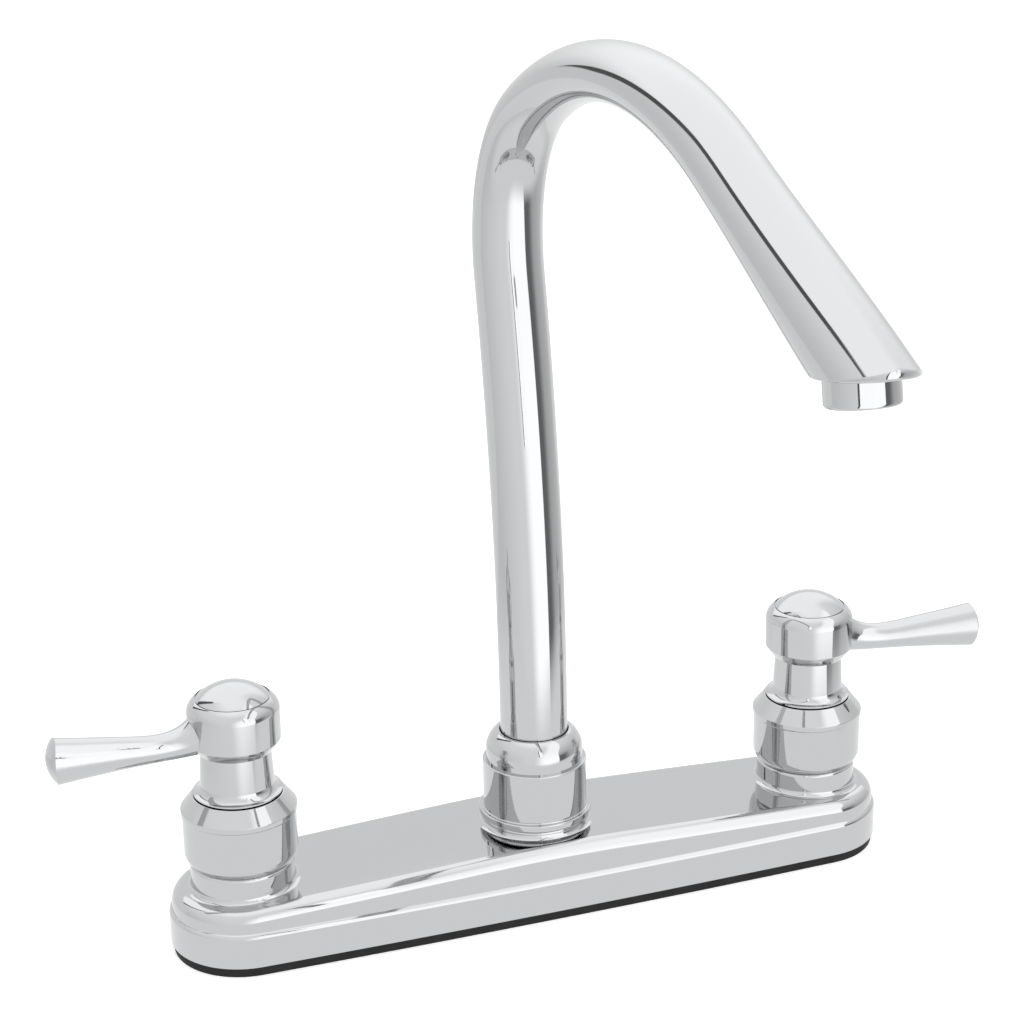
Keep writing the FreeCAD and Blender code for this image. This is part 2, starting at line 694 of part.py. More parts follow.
def build_stem(side, way):
    low = carrier_low()
    body = turned_body(f"{side}_stem", [
        (0, low),
        (s.DiscRadius, low),
        (s.DiscRadius, low + s.CarrierHeight),
        (s.StemRadius, low + s.CarrierHeight),
        (s.StemRadius, s.StemShoulder),
        (s.SplineRadius, s.StemShoulder),
        (s.SplineRadius, s.StemTop),
        (0, s.StemTop),
    ])
    flute = new_sketch(body, "XY_Plane", f"{side}FluteCircle", s.StemShoulder)
    draw_circle(flute, s.SplineRadius / 8, s.SplineRadius)
    cutter = pocket(body, flute, s.StemTop - s.StemShoulder, "Flute")
    pattern = body.newObject("PartDesign::PolarPattern", f"{side}Flutes")
    pattern.Originals = [cutter]
    pattern.Axis = (flute, ["N_Axis"])
    pattern.Angle = 360
    pattern.Occurrences = int(s.SplineTeeth.value)
    bind(pattern, "Occurrences", s.SplineTeeth)
    body.Tip = pattern
    tapped = new_sketch(body, "XY_Plane", f"{side}TappedCircle", s.StemTop)
    draw_circle(tapped, s.ScrewRadius + s.FitGap)
    pocket(body, tapped, s.ScrewLength, "Tapped", up=False)
    place(body, way * half_spacing)
    return keep(body, f"{side}_stem")


def build_bonnet(side, way):
    body = turned_body(f"{side}_bonnet", [
        (s.BonnetFoot, s.BossTop),
        (s.BonnetRadius, s.BonnetTaperTop),
        (s.BonnetRadius, s.BonnetBodyTop),
        (s.BonnetLip, s.BonnetBodyTop + s.EdgeRounding),
        (s.BonnetLip, s.BonnetLipTop),
        (s.BonnetMouthRadius, s.BonnetTop),
        (s.BonnetOpening, s.BonnetTop),
        (s.BonnetOpening, s.CollarTop + s.FitGap),
        (s.BonnetHollow, s.CollarTop + s.FitGap),
        (s.BonnetHollow, s.BonnetThreadTop),
        (s.BodyRadius + s.FitGap, s.BonnetThreadTop),
        (s.BodyRadius + s.FitGap, s.BonnetThreadLow),
        (s.LockNutRadius + s.SlipGap, s.BonnetThreadLow),
        (s.LockNutRadius + s.SlipGap, s.BossTop),
    ])
    soften(body, [
        (s.BonnetRadius, s.BonnetTaperTop),
        (s.BonnetLip, s.BonnetBodyTop + s.EdgeRounding),
        (s.BonnetLip, s.BonnetLipTop),
        (s.BonnetMouthRadius, s.BonnetTop),
    ], s.EdgeRounding)
    place(body, way * half_spacing)
    return keep(body, f"{side}_bonnet")


# ---- one handle ----

def build_knob(name):
    recess = s.CapPlugRadius + s.FitGap
    shoulder_curve = (s.KnobTop - s.KnobShoulder) * 1.15
    rim_top = s.SkirtFoot + s.SkirtRimHeight
    knob = turned_body(name, [
        (s.SkirtHollow, s.SkirtFoot),
        (s.SkirtRim, s.SkirtFoot),
        (s.SkirtRim, rim_top, -s.SkirtFlareCurve),
        (s.SkirtLow, s.SkirtFlareTop),
        (s.SkirtHigh, s.KnobFoot),
        (s.KnobFootRadius, s.KnobFoot),
        (s.KnobRadius, s.KnobLow),
        (s.KnobRadius, s.KnobShoulder, shoulder_curve),
        (s.CapRadius + s.CapGroove, s.KnobTop),
        (s.CapRadius + s.CapGroove, s.KnobTop - s.CapEdge),
        (recess, s.KnobTop - s.CapEdge),
        (recess, s.ScrewSeat),
        (s.ScrewRadius + s.FitGap, s.ScrewSeat),
        (s.ScrewRadius + s.FitGap, s.StemTop + s.FitGap),
        (s.SplineRadius + s.FitGap, s.StemTop + s.FitGap),
        (s.SplineRadius + s.FitGap, s.StemShoulder + s.FitGap),
        (s.SkirtHollow, s.StemShoulder + s.FitGap),
    ])
    soften(knob, [
        (s.KnobFootRadius, s.KnobFoot),
        (s.KnobRadius, s.KnobLow),
    ], s.EdgeRounding)
    return knob


# A smooth solid through upright oval sections: (distance, level, height, width).
def oval_loft(name, stations):
    ovals = []
    for index, (reach, level, height, width) in enumerate(stations):
        oval = primitive("Part::Ellipse", f"{name}Oval{index}", MajorRadius=height / 2, MinorRadius=width / 2)
        # the section stands across X with its long way up
        frame = Rotation(Vector(0, 0, 1), Vector(0, -1, 0), Vector(1, 0, 0), "ZXY")
        oval.Placement = Placement(Vector(number(reach), 0, number(level)), frame)
        bind(oval, "Placement.Base.x", reach)
        bind(oval, "Placement.Base.z", level)
        ovals.append(oval)
    loft = doc.addObject("Part::Loft", name)
    loft.Sections = ovals
    loft.Solid = True
    loft.Ruled = False
    return loft


# The lever swells to both ends from its neck. Its end is cut to a shallow dome with a crisp edge.
def build_lever(name):
    neck, end = s.LeverNeckAt, s.LeverEndAt
    grow = s.LeverEndHeight - s.LeverNeckHeight
    widen = s.LeverEndWidth - s.LeverNeckWidth
    flare = s.LeverRootHeight - s.LeverNeckHeight
    lift = s.LeverRootLevel - s.LeverNeckLevel
    root = s.KnobRadius * LEVER_ROOT_DEPTH
    stations = []
    for share in (1.0, 0.72, 0.42):
        bell = share ** 3
        stations.append((neck - share * (neck - root), s.LeverNeckLevel + bell * lift,
                         s.LeverNeckHeight + bell * flare, s.LeverNeckWidth + bell * flare))
    beyond = 1 + number(s.LeverEndBulge) / number(end - neck)
    for share in (0.0, 0.34, 0.68, 1.0, beyond):
        bell = share ** 1.25
        stations.append((neck + share * (end - neck), s.LeverNeckLevel + share * s.LeverRise,
                         s.LeverNeckHeight + bell * grow, s.LeverNeckWidth + bell * widen))
    half = s.LeverEndHeight / 2
    dome = (half * half + s.LeverEndBulge * s.LeverEndBulge) / (2 * s.LeverEndBulge)
    trim = turned_body(f"{name}_end_trim", [
        (0, s.LeverEndBulge, -dome),
        (half, 0),
        (s.LeverEndHeight, 0),
        (s.LeverEndHeight, 2 * s.LeverEndBulge),
        (0, 2 * s.LeverEndBulge),
    ])
    place(trim, end, 0.0, s.LeverNeckLevel + s.LeverRise, 90.0, (0, 1, 0))
    bore = primitive("Part::Cylinder", f"{name}_bore_trim", Radius=s.CapPlugRadius + s.PlateWall,
                     Height=s.KnobTop + s.CapRise)
    return cut(f"{name}_arm", cut(f"{name}_domed", oval_loft(f"{name}_loft", stations), trim), bore)


def build_handle(side, way, turn_angle):
    handle = fused(f"{side}_handle", [build_knob(f"{side}_knob"), build_lever(f"{side}_lever")])
    place(handle, way * half_spacing, turn_angle=turn_angle)
    return keep(handle, f"{side}_handle")


def build_cap(side, way):
    rim = s.KnobTop - s.CapEdge
    dome = (s.CapRadius * s.CapRadius + s.CapRise * s.CapRise) / (2 * s.CapRise)
    body = turned_body(f"{side}_handle_cap", [
        (0, rim - s.CapPlugHollow),
        (s.CapPlugRadius - s.CapPlugWall, rim - s.CapPlugHollow),
        (s.CapPlugRadius - s.CapPlugWall, rim - s.CapPlugDepth),
        (s.CapPlugRadius, rim - s.CapPlugDepth),
        (s.CapPlugRadius, rim),
        (s.CapRadius, rim),
        (s.CapRadius, s.KnobTop, dome),
        (0, s.KnobTop + s.CapRise),
    ])
    place(body, way * half_spacing)
    return keep(body, f"{side}_handle_cap")


def build_screw(side, way):
    body = turned_body(f"{side}_handle_screw", [
        (0, s.ScrewSeat - s.ScrewLength),
        (s.ScrewRadius, s.ScrewSeat - s.ScrewLength),
        (s.ScrewRadius, s.ScrewSeat),
        (s.ScrewHeadRadius, s.ScrewSeat),
        (s.ScrewHeadRadius, s.ScrewSeat + s.ScrewHeadHeight),
        (0, s.ScrewSeat + s.ScrewHeadHeight),
    ])
    place(body, way * half_spacing)
    return keep(body, f"{side}_handle_screw")


# ---- deck fastening ----

def build_hex_ring(label, corner_radius, bore, low, height):
    body = new_body(label)
    sketch = new_sketch(body, "XY_Plane", f"{label}Hexagon", low)
    corners = []
    for index in range(6):
        way = math.radians(60 * index)
        corners.append((corner_radius * round(math.cos(way), 9), corner_radius * round(math.sin(way), 9)))
    draw_outline(sketch, corners)
    pad(body, sketch, height)
    hole = new_sketch(body, "XY_Plane", f"{label}Hole", low)
    draw_circle(hole, bore)
    pocket(body, hole, height, "Bore")
    return body


def build_fasteners():
    nuts, washers, locks = [], [], []
    nut_low = s.WasherTop - s.WasherThickness - s.ShankNutHeight
    for side, way in SIDES.items():
        bore = s.ShankRadius + s.FitGap
        nut = build_hex_ring(f"{side}_shank_nut", s.ShankNutRadius, bore, nut_low, s.ShankNutHeight)
        nuts.append(place(nut, way * half_spacing))
        washer = ring(f"{side}_shank_washer", bore + s.FitGap, s.WasherRadius,
                      s.WasherTop - s.WasherThickness, s.WasherTop)
        washers.append(place(washer, way * half_spacing))
        lock = build_hex_ring(f"{side}_lock_nut", s.LockNutRadius, s.BodyRadius + s.FitGap,
                              s.BossTop, s.LockNutHeight)
        locks.append(place(lock, way * half_spacing))
    group("shank_nuts", nuts)
    group("shank_washers", washers)
    group("plate_lock_nuts", locks)


def build_waterway(side, way):
    body = new_body(f"{side}_waterway")
    low = s.PortReach - s.TubeSocketDepth + s.SlipGap
    high = half_spacing - low
    section = new_sketch(body, "YZ_Plane", f"{side}TubeSection", way * low)
    draw_circle(section, s.TubeRadius, 0.0, s.TubeLevel)
    draw_circle(section, s.TubeRadius - s.TubeWall, 0.0, s.TubeLevel)
    pad(body, section, high - low, up=way > 0)
    return keep(body, f"{side}_waterway")


# ---- spout ----

def build_socket():
    body = turned_body("spout_socket", [
        (0, s.SocketFoot),
        (s.SocketNeck, s.SocketFoot),
        (s.SocketNeck, s.CavityTop - s.SocketFlangeHeight),
        (s.SocketFlange, s.CavityTop - s.SocketFlangeHeight),
        (s.SocketFlange, s.CavityTop - s.FitGap),
        (s.SocketNeck, s.CavityTop - s.FitGap),
        (s.SocketNeck, s.SocketTop),
        (0, s.SocketTop),
    ])
    for name, way in (("Right", 1), ("Left", -1)):
        port = new_sketch(body, "YZ_Plane", f"{name}PortCircle")
        draw_circle(port, s.PortRadius, 0.0, s.TubeLevel)
        pad(body, port, s.PortReach, f"{name}Port", up=way > 0)
        tube = new_sketch(body, "YZ_Plane", f"{name}SocketCircle", way * (s.PortReach - s.TubeSocketDepth))
        draw_circle(tube, s.TubeRadius + s.FitGap, 0.0, s.TubeLevel)
        pocket(body, tube, s.TubeSocketDepth, f"{name}Socket", up=way > 0)
        water = new_sketch(body, "YZ_Plane", f"{name}WaterCircle")
        draw_circle(water, s.TubeRadius - s.TubeWall, 0.0, s.TubeLevel)
        pocket(body, water, s.PortReach, f"{name}Water", up=way > 0)
    floor = s.TubeLevel - s.TubeRadius
    turn(body, [
        (0, floor),
        (s.SocketWaterBore, floor),
        (s.SocketWaterBore, s.SocketFloor),
        (s.SocketBore, s.SocketFloor),
        (s.SocketBore, s.SocketTop),
        (0, s.SocketTop),
    ], "Bore", cut=True)
    return keep(body, "spout_socket")


def flange_top():
    return s.SocketTop + s.SlipGap + s.BushingFlangeHeight


def build_hub_nut():
    ceiling = flange_top() + s.SlipRingThickness + s.SlipGap
    body = turned_body("hub_nut", [
        (s.SocketNeck + s.FitGap, s.NutFoot),
        (s.NutFlange, s.NutFoot),
        (s.NutFlange, s.NutFlangeTop),
        (s.NutRadius, s.NutFlangeTop),
        (s.NutRadius, s.NutBodyTop),
        (s.NutDomeRadius, s.NutBodyTop),
        (s.NutDomeRadius, s.NutDomeLow, s.NutDomeCurve),
        (s.NutMouthRadius, s.NutTop),
        (s.FootRadius + s.SlipGap, s.NutTop),
        (s.FootRadius + s.SlipGap, ceiling),
        (s.SocketNeck + s.FitGap, ceiling),
    ])
    soften(body, [
        (s.NutFlange, s.NutFoot),
        (s.NutFlange, s.NutFlangeTop),
        (s.NutRadius, s.NutFlangeTop),
        (s.NutRadius, s.NutBodyTop),
    ], s.EdgeRounding)
    return keep(body, "hub_nut")


def seal_levels():
    return [s.SpoutSealLow, s.SpoutSealLow + s.SpoutSealPitch]


def build_bushing():
    outer = s.SocketBore - s.FitGap
    groove = outer - 2 * s.SpoutSealWire + s.FitGap
    corners = [(s.BushingBore, s.BushingFoot), (outer, s.BushingFoot)]
    for level in seal_levels():
        corners += [
            (outer, level - s.SpoutSealWire),
            (groove, level - s.SpoutSealWire),
            (groove, level + s.SpoutSealWire),
            (outer, level + s.SpoutSealWire),
        ]
    corners += [
        (outer, s.SocketTop + s.SlipGap),
        (s.BushingFlange, s.SocketTop + s.SlipGap),
        (s.BushingFlange, flange_top()),
        (s.FootRadius - s.TubeSpoutWall - s.FitGap, flange_top()),
        (s.FootRadius - s.TubeSpoutWall - s.FitGap, s.RiserFoot),
        (s.BushingBore, s.RiserFoot),
    ]
    return keep(turned_body("spout_bushing", corners), "spout_bushing")


def build_spout_rings():
    slip_low = flange_top() + s.FitGap
    slip = ring("spout_slip_ring", s.FootRadius + s.FitGap, s.BushingFlange, slip_low,
                slip_low + s.SlipRingThickness)
    keep(slip, "spout_slip_ring")
    centre = s.SocketBore - s.SpoutSealWire - s.FitGap
    rings = []
    for index, level in enumerate(seal_levels()):
        rings.append(o_ring(f"SpoutSeal{index}", centre, s.SpoutSealWire - s.FitGap, level))
    group("spout_o_rings", rings)


# The spout's centre line above its round foot as stretches: (length, radius or None, half width,
# how much thinner). A bend to the front has its radius above zero. The sections are those at the end.
def spout_stretches():
    lean = math.radians(s.RiserLean.value)
    riser_radius = (s.RiserTop.value - s.RiserFoot.value) / math.sin(lean)
    bend = math.radians(s.BendAngle.value)
    sweep = math.radians(90 + s.LegSlope.value + s.RiserLean.value) - bend
    return [
        (riser_radius * lean, -riser_radius, s.RiserTopRadius, s.RiserTopFlat),
        (s.BendRadius.value * bend, s.BendRadius.value, s.CrownRadius, s.CrownFlat),
        (s.SweepRadius.value * sweep, s.SweepRadius.value, s.LegTopRadius, s.LegTopFlat),
        (s.LegLength.value, None, s.OutletRadius, NONE),
        (s.OutletRadius.value * OUTLET_RUN_ON, None, s.OutletRadius, NONE),
    ]


def tube_foot():
    return flange_top() + s.FitGap


# Where the centre line has come to after a distance along a stretch, and its way there.
def along(start, way, radius, distance):
    if radius is None:
        return start + way * distance, way
    side = Vector(0, -way.z, way.y)
    angle = distance / abs(radius)
    spot = start + side * radius * (1 - math.cos(angle)) + way * abs(radius) * math.sin(angle)
    return spot, way * math.cos(angle) + side * math.copysign(math.sin(angle), radius)


def mixed(first, last, share):
    return first * (1 - share) + last * share


# Stations at even steps along the spout: (place, way, half width, how much thinner).
def spout_stations():
    start, way = Vector(0, 0, s.RiserFoot.value), Vector(0, 0, 1)
    width, flat = s.FootRadius, NONE
    stations = [(start, way, width, flat)]
    for length, radius, end_width, end_flat in spout_stretches():
        count = max(1, round(length / STATION_STEP))
        for step in range(1, count + 1):
            share = step / count
            eased = share * share * (3 - 2 * share)
            spot, heading = along(start, way, radius, length * share)
            stations.append((spot, heading, mixed(width, end_width, eased), mixed(flat, end_flat, eased)))
        start, way = spot, heading
        width, flat = end_width, end_flat
    return stations


def spout_loft(name, inset):
    ovals = []
    for index, (spot, way, width, flat) in enumerate(spout_stations()):
        oval = primitive("Part::Ellipse", f"{name}Oval{index}", MajorRadius=width - inset,
                         MinorRadius=width - inset - flat)
        tilt = math.degrees(math.atan2(-way.y, way.z))
        oval.Placement = Placement(spot, Rotation(Vector(1, 0, 0), tilt))
        ovals.append(oval)
    loft = doc.addObject("Part::Loft", name)
    loft.Sections = ovals
    loft.Solid = True
    loft.Ruled = False
    foot = primitive("Part::Cylinder", f"{name}Foot", Radius=s.FootRadius - inset,
                     Height=s.RiserFoot - tube_foot())
    place(foot, 0.0, 0.0, tube_foot())
    return fused(f"{name}Whole", [foot, loft])


def outlet_spin():
    return Rotation(Vector(1, 0, 0), -s.OutletTilt.value)


# The middle of the outlet face, at the end of the leg.
def outlet_centre():
    start, way = Vector(0, 0, s.RiserFoot.value), Vector(0, 0, 1)
    for length, radius, _, _ in spout_stretches()[:-1]:
        start, way = along(start, way, radius, length)
    return start


# Where the collar's axis meets the outlet face.
def collar_centre():
    return outlet_centre() + outlet_spin().multVec(Vector(0, s.AeratorSetback.value, 0))


# A block that hangs below the outlet plane, raised by the given height.
def below_outlet(name, raised):
    reach = 8 * s.OutletRadius
    block = primitive("Part::Box", name, Length=reach, Width=reach, Height=reach)
    spin = outlet_spin()
    half = number(reach) / 2
    corner = spin.multVec(Vector(-half, -half, number(raised) - number(reach)))
    block.Placement = Placement(outlet_centre() + corner, spin)
    return block


# Rounds the rim of the outlet face, the one edge that lies all in its plane.
def round_outlet(spout):
    doc.recompute()
    centre, upright = outlet_centre(), outlet_spin().multVec(Vector(0, 0, 1))

    def in_plane(edge):
        spots = edge.discretize(5)
        return all(abs((spot - centre).dot(upright)) < 0.01 for spot in spots)

    rims = [index for index, edge in enumerate(spout.Shape.Edges, start=1) if in_plane(edge)]
    rounded = doc.addObject("Part::Fillet", "SpoutRounded")
    rounded.Base = spout
    rounded.Edges = [(index, s.OutletRounding.value, s.OutletRounding.value) for index in rims]
    return rounded


def build_spout_tube():
    outer = round_outlet(cut("SpoutOuter", spout_loft("SpoutSkin", NONE), below_outlet("OutletCut", NONE)))
    inner = cut("SpoutInner", spout_loft("SpoutBore", s.TubeSpoutWall), below_outlet("PlateCut", s.OutletPlate))
    shell = cut("SpoutShell", outer, inner)
    depth = s.AeratorThreadHeight + s.SlipGap
    bore = primitive("Part::Cylinder", "OutletBore", Radius=s.AeratorThread + s.FitGap, Height=2 * depth)
    spin = outlet_spin()
    bore.Placement = Placement(collar_centre() - spin.multVec(Vector(0, 0, number(depth))), spin)
    return keep(cut("spout_tube", shell, bore), "spout_tube")


def on_outlet(body):
    body.Placement = Placement(collar_centre(), outlet_spin())
    return body


def build_aerator():
    foot = -s.AeratorHeight
    housing = turned_body("aerator_housing", [
        (s.AeratorMouth, foot),
        (s.AeratorRadius - s.AeratorEdge, foot, s.AeratorEdge),
        (s.AeratorRadius, foot + s.AeratorEdge),
        (s.AeratorRadius, 0),
        (s.AeratorThread, 0),
        (s.AeratorThread, s.AeratorThreadHeight),
        (s.AeratorBore, s.AeratorThreadHeight),
        (s.AeratorBore, foot + s.AeratorLip),
        (s.AeratorMouth, foot + s.AeratorLip),
    ])
    keep(on_outlet(housing), "aerator_housing")
    insert = new_body("aerator_insert")
    insert_low = foot + s.AeratorLip
    face = new_sketch(insert, "XY_Plane", "InsertFace", insert_low)
    draw_circle(face, s.AeratorBore - s.FitGap)
    pad(insert, face, s.InsertHeight)
    hole = new_sketch(insert, "XY_Plane", "InsertHole", insert_low)
    draw_circle(hole, s.InsertHole, s.InsertRing)
    drilled = pocket(insert, hole, s.InsertHeight, "Hole")
    pattern = insert.newObject("PartDesign::PolarPattern", "InsertHoles")
    pattern.Originals = [drilled]
    pattern.Axis = (hole, ["N_Axis"])
    pattern.Angle = 360
    pattern.Occurrences = int(s.InsertHoles.value)
    bind(pattern, "Occurrences", s.InsertHoles)
    insert.Tip = pattern
    keep(on_outlet(insert), "aerator_insert")
    washer_low = insert_low + s.InsertHeight
    washer = ring("aerator_washer", s.AeratorBore - s.WasherWall, s.AeratorBore - s.FitGap,
                  washer_low, washer_low + s.WasherHeight)
    keep(on_outlet(washer), "aerator_washer")


# ---- the whole faucet ----

def build_valve(side, way, lever_turn):
    build_valve_body(side, way)
    seal = ring(f"{side}_seat_seal", s.WaterBore, s.DiscRadius, s.SeatHeight, seal_top())
    keep(place(seal, way * half_spacing), f"{side}_seat_seal")
    build_disc(f"{side}_fixed_disc", seal_top(), way, 0.0)
    build_cartridge(side, way)
    build_bonnet(side, way)
    build_disc(f"{side}_moving_disc", moving_disc_low(), way, 90.0)
    build_stem(side, way)
    stem_seal = o_ring(f"{side}_stem_o_ring", s.StemRadius + s.StemSealWire,
                       s.StemSealWire - s.FitGap, s.StemSealLevel)
    keep(place(stem_seal, way * half_spacing), f"{side}_stem_o_ring")
    build_handle(side, way, lever_turn)
    build_screw(side, way)
    build_cap(side, way)


def main():
    build_plate()
    build_gasket()
    build_fasteners()
    build_valve("left", -1, 180 + s.LeftLeverTurn)
    build_valve("right", 1, -s.RightLeverTurn)
    build_waterway("left", -1)
    build_waterway("right", 1)
    build_socket()
    build_hub_nut()
    build_bushing()
    build_spout_rings()
    build_spout_tube()
    build_aerator()
    doc.recompute()
    for item in doc.Objects:
        if {"Invalid", "Error"} & set(item.State):
            raise RuntimeError(f"{item.Label}: {item.State}")
    os.makedirs("parts", exist_ok=True)
    for label, item in nodes.items():
        shape = item.Shape
        if shape.isNull() or not shape.isValid():
            raise RuntimeError(f"{label} has no valid shape")
        print(f"{label}: {len(shape.Solids)} solids, {shape.Volume:.0f} mm3")
        shape.exportStep(f"parts/{label}.step")


main()
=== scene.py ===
import bpy
import json
import math
from mathutils import Matrix, Vector
from mathutils.geometry import delaunay_2d_cdt


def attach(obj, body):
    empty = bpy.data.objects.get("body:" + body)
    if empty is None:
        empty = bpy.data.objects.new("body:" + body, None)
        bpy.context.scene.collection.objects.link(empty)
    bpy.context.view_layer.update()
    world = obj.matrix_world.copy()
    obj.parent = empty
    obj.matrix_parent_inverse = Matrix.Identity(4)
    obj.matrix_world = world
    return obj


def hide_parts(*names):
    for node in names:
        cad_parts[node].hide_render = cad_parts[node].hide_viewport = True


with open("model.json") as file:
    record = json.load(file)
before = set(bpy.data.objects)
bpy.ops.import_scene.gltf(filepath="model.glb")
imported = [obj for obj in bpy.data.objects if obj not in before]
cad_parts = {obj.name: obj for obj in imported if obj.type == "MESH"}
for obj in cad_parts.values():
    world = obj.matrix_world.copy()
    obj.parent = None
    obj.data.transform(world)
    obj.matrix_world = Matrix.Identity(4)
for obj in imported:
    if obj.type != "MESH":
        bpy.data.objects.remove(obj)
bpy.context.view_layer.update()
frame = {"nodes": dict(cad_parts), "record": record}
mm = 0.001
up = Vector((0, 0, 1))
print("frame loaded:", len(frame["nodes"]), "nodes")


def linearFromHex(text):
    # sRGB hex to the linear RGBA that the shaders take
    channels = [int(text[i:i + 2], 16) / 255 for i in (1, 3, 5)]
    return [c / 12.92 if c <= 0.04045 else ((c + 0.055) / 1.055) ** 2.4 for c in channels] + [1.0]


def addNode(tree, kind, settings=None, inputs=None):
    # one node with its settings; each input takes a value, or a link from another node's socket
    node = tree.nodes.new(kind)
    for key, value in (settings or {}).items():
        setattr(node, key, value)
    for key, value in (inputs or {}).items():
        if isinstance(value, bpy.types.NodeSocket):
            tree.links.new(value, node.inputs[key])
        else:
            node.inputs[key].default_value = value
    return node


def levelWays(count):
    # level unit vectors, all the way round
    angles = [2 * math.pi * step / count for step in range(count)]
    return [Vector((math.cos(angle), math.sin(angle), 0)) for angle in angles]


def meshWithNormals(name, strips, sheets, material):
    # strips are runs of rings, sheets are (corners, triangles); each corner is (point in mm, normal)
    points, normals, faces = [], [], []
    for rings in strips:
        for row, ring in enumerate(rings):
            count = len(ring)
            base = len(points)
            last = base - count
            points.extend(point * mm for point, _ in ring)
            normals.extend(normal.normalized() for _, normal in ring)
            if row:
                faces.extend((last + step, last + (step + 1) % count, base + (step + 1) % count, base + step)
                             for step in range(count))
    for corners, triangles in sheets:
        base = len(points)
        points.extend(point * mm for point, _ in corners)
        normals.extend(normal.normalized() for _, normal in corners)
        faces.extend(tuple(base + corner for corner in triangle) for triangle in triangles)
    mesh = bpy.data.meshes.new(name)
    mesh.from_pydata([tuple(point) for point in points], [], faces)
    mesh.shade_smooth()
    mesh.normals_split_custom_set_from_vertices([tuple(normal) for normal in normals])
    mesh.materials.append(material)
    piece = bpy.data.objects.new(name, mesh)
    bpy.context.scene.collection.objects.link(piece)
    return piece


# What the finishes' patterns are drawn with: the texture, its output, and the range that this output fills.
cloudy = {"texture": "ShaderNodeTexNoise", "output": "Fac", "range": (0.3, 0.7)}
crystals = {"texture": "ShaderNodeTexVoronoi", "output": "Distance", "range": (0.0, 1.0)}

# The skin that moulded and lapped pieces share: soft light inside, an uneven tone, and 0.3 mm of mould grain.
mouldedSkin = {"pattern": cloudy, "patch": 6.67, "patchDetail": 3.0, "spread": (0.0, 1.0), "grain": 0.333,
               "grainDetail": 2.0, "stretch": (1, 1, 1), "bump": 0.15, "depth": 0.02}
softLight = {"Subsurface Weight": 0.08, "Subsurface Scale": 0.6 * mm}

# The finishes, by material slot. Patch, grain and the bump's depth are real sizes in millimetres. Patches
# change the colour where there are a dark and a light one, and the roughness where there is one colour.
finishes = {
    # bright nickel-chrome over buffed brass: near mirror, with faint haze where it is wiped; the plating's
    # ripple is really finer than 1.1 mm, and is drawn as coarse as it needs to show
    "chrome": {"name": "PolishedChromePlate", "colours": ["#c3c4c5"], "shader": {"Metallic": 1.0},
               "pattern": cloudy, "patch": 22.2, "patchDetail": 3.0, "spread": (0.035, 0.07), "grain": 1.11,
               "grainDetail": 1.0, "stretch": (1, 1, 1), "bump": 0.02, "depth": 0.02},
    # turned brass left bare: tool lines across its height, drawn coarse so that they show, and uneven tarnish
    "brass": {"name": "TurnedBrass", "colours": ["#8d6a34", "#c9a35a"],
              "shader": {"Metallic": 1.0, "Roughness": 0.28}, "pattern": cloudy, "patch": 16.7,
              "patchDetail": 4.0, "spread": (0.2, 1.0), "grain": 3.33, "grainDetail": 2.0,
              "stretch": (1, 1, 14), "bump": 0.25, "depth": 0.05},
    # drawn copper tube: lengthwise draw marks and soft brown patches of oxide
    "copper": {"name": "DrawnCopperTube", "colours": ["#8a4b30", "#d08a62"],
               "shader": {"Metallic": 1.0, "Roughness": 0.33}, "pattern": cloudy, "patch": 12.5,
               "patchDetail": 4.0, "spread": (0.1, 1.0), "grain": 2.0, "grainDetail": 2.0,
               "stretch": (0.05, 1, 1), "bump": 0.2, "depth": 0.05},
    # zinc plated steel stampings: grey and dull, with a fine crystalline speckle
    "steel": {"name": "ZincPlatedSteel", "colours": ["#b4b6b8"], "shader": {"Metallic": 1.0},
              "pattern": crystals, "patch": 1.11, "patchDetail": 0.0, "spread": (0.28, 0.42), "grain": 1.11,
              "grainDetail": 0.0, "stretch": (1, 1, 1), "bump": 0.1, "depth": 0.03},
    # moulded black rubber: matt, pebbled at 0.4 mm, faintly grey where dust sits
    "rubber": {"name": "MouldedBlackRubber", "colours": ["#0d0d0e", "#19191b"],
               "shader": {"Roughness": 0.72, "Specular IOR Level": 0.35}, "pattern": cloudy, "patch": 8.33,
               "patchDetail": 4.0, "spread": (0.0, 1.0), "grain": 0.4, "grainDetail": 2.0,
               "stretch": (1, 1, 1), "bump": 0.35, "depth": 0.06},
    # lapped alumina: dense, cream white and glossy
    "ceramic": {"name": "LappedCeramic", "colours": ["#e4e0d6", "#efece4"],
                "shader": {"Roughness": 0.22, **softLight}, **mouldedSkin},
    # undyed moulded nylon: warm off-white with a soft gloss
    "nylon": {"name": "NaturalNylon", "colours": ["#dcd7c8", "#e8e4d8"],
              "shader": {"Roughness": 0.42, **softLight}, **mouldedSkin},
    # moulded acetal: cool light grey, slick
    "plastic": {"name": "MouldedAcetal", "colours": ["#b9bbbe", "#c9cbcd"],
                "shader": {"Roughness": 0.38, **softLight}, **mouldedSkin},
}


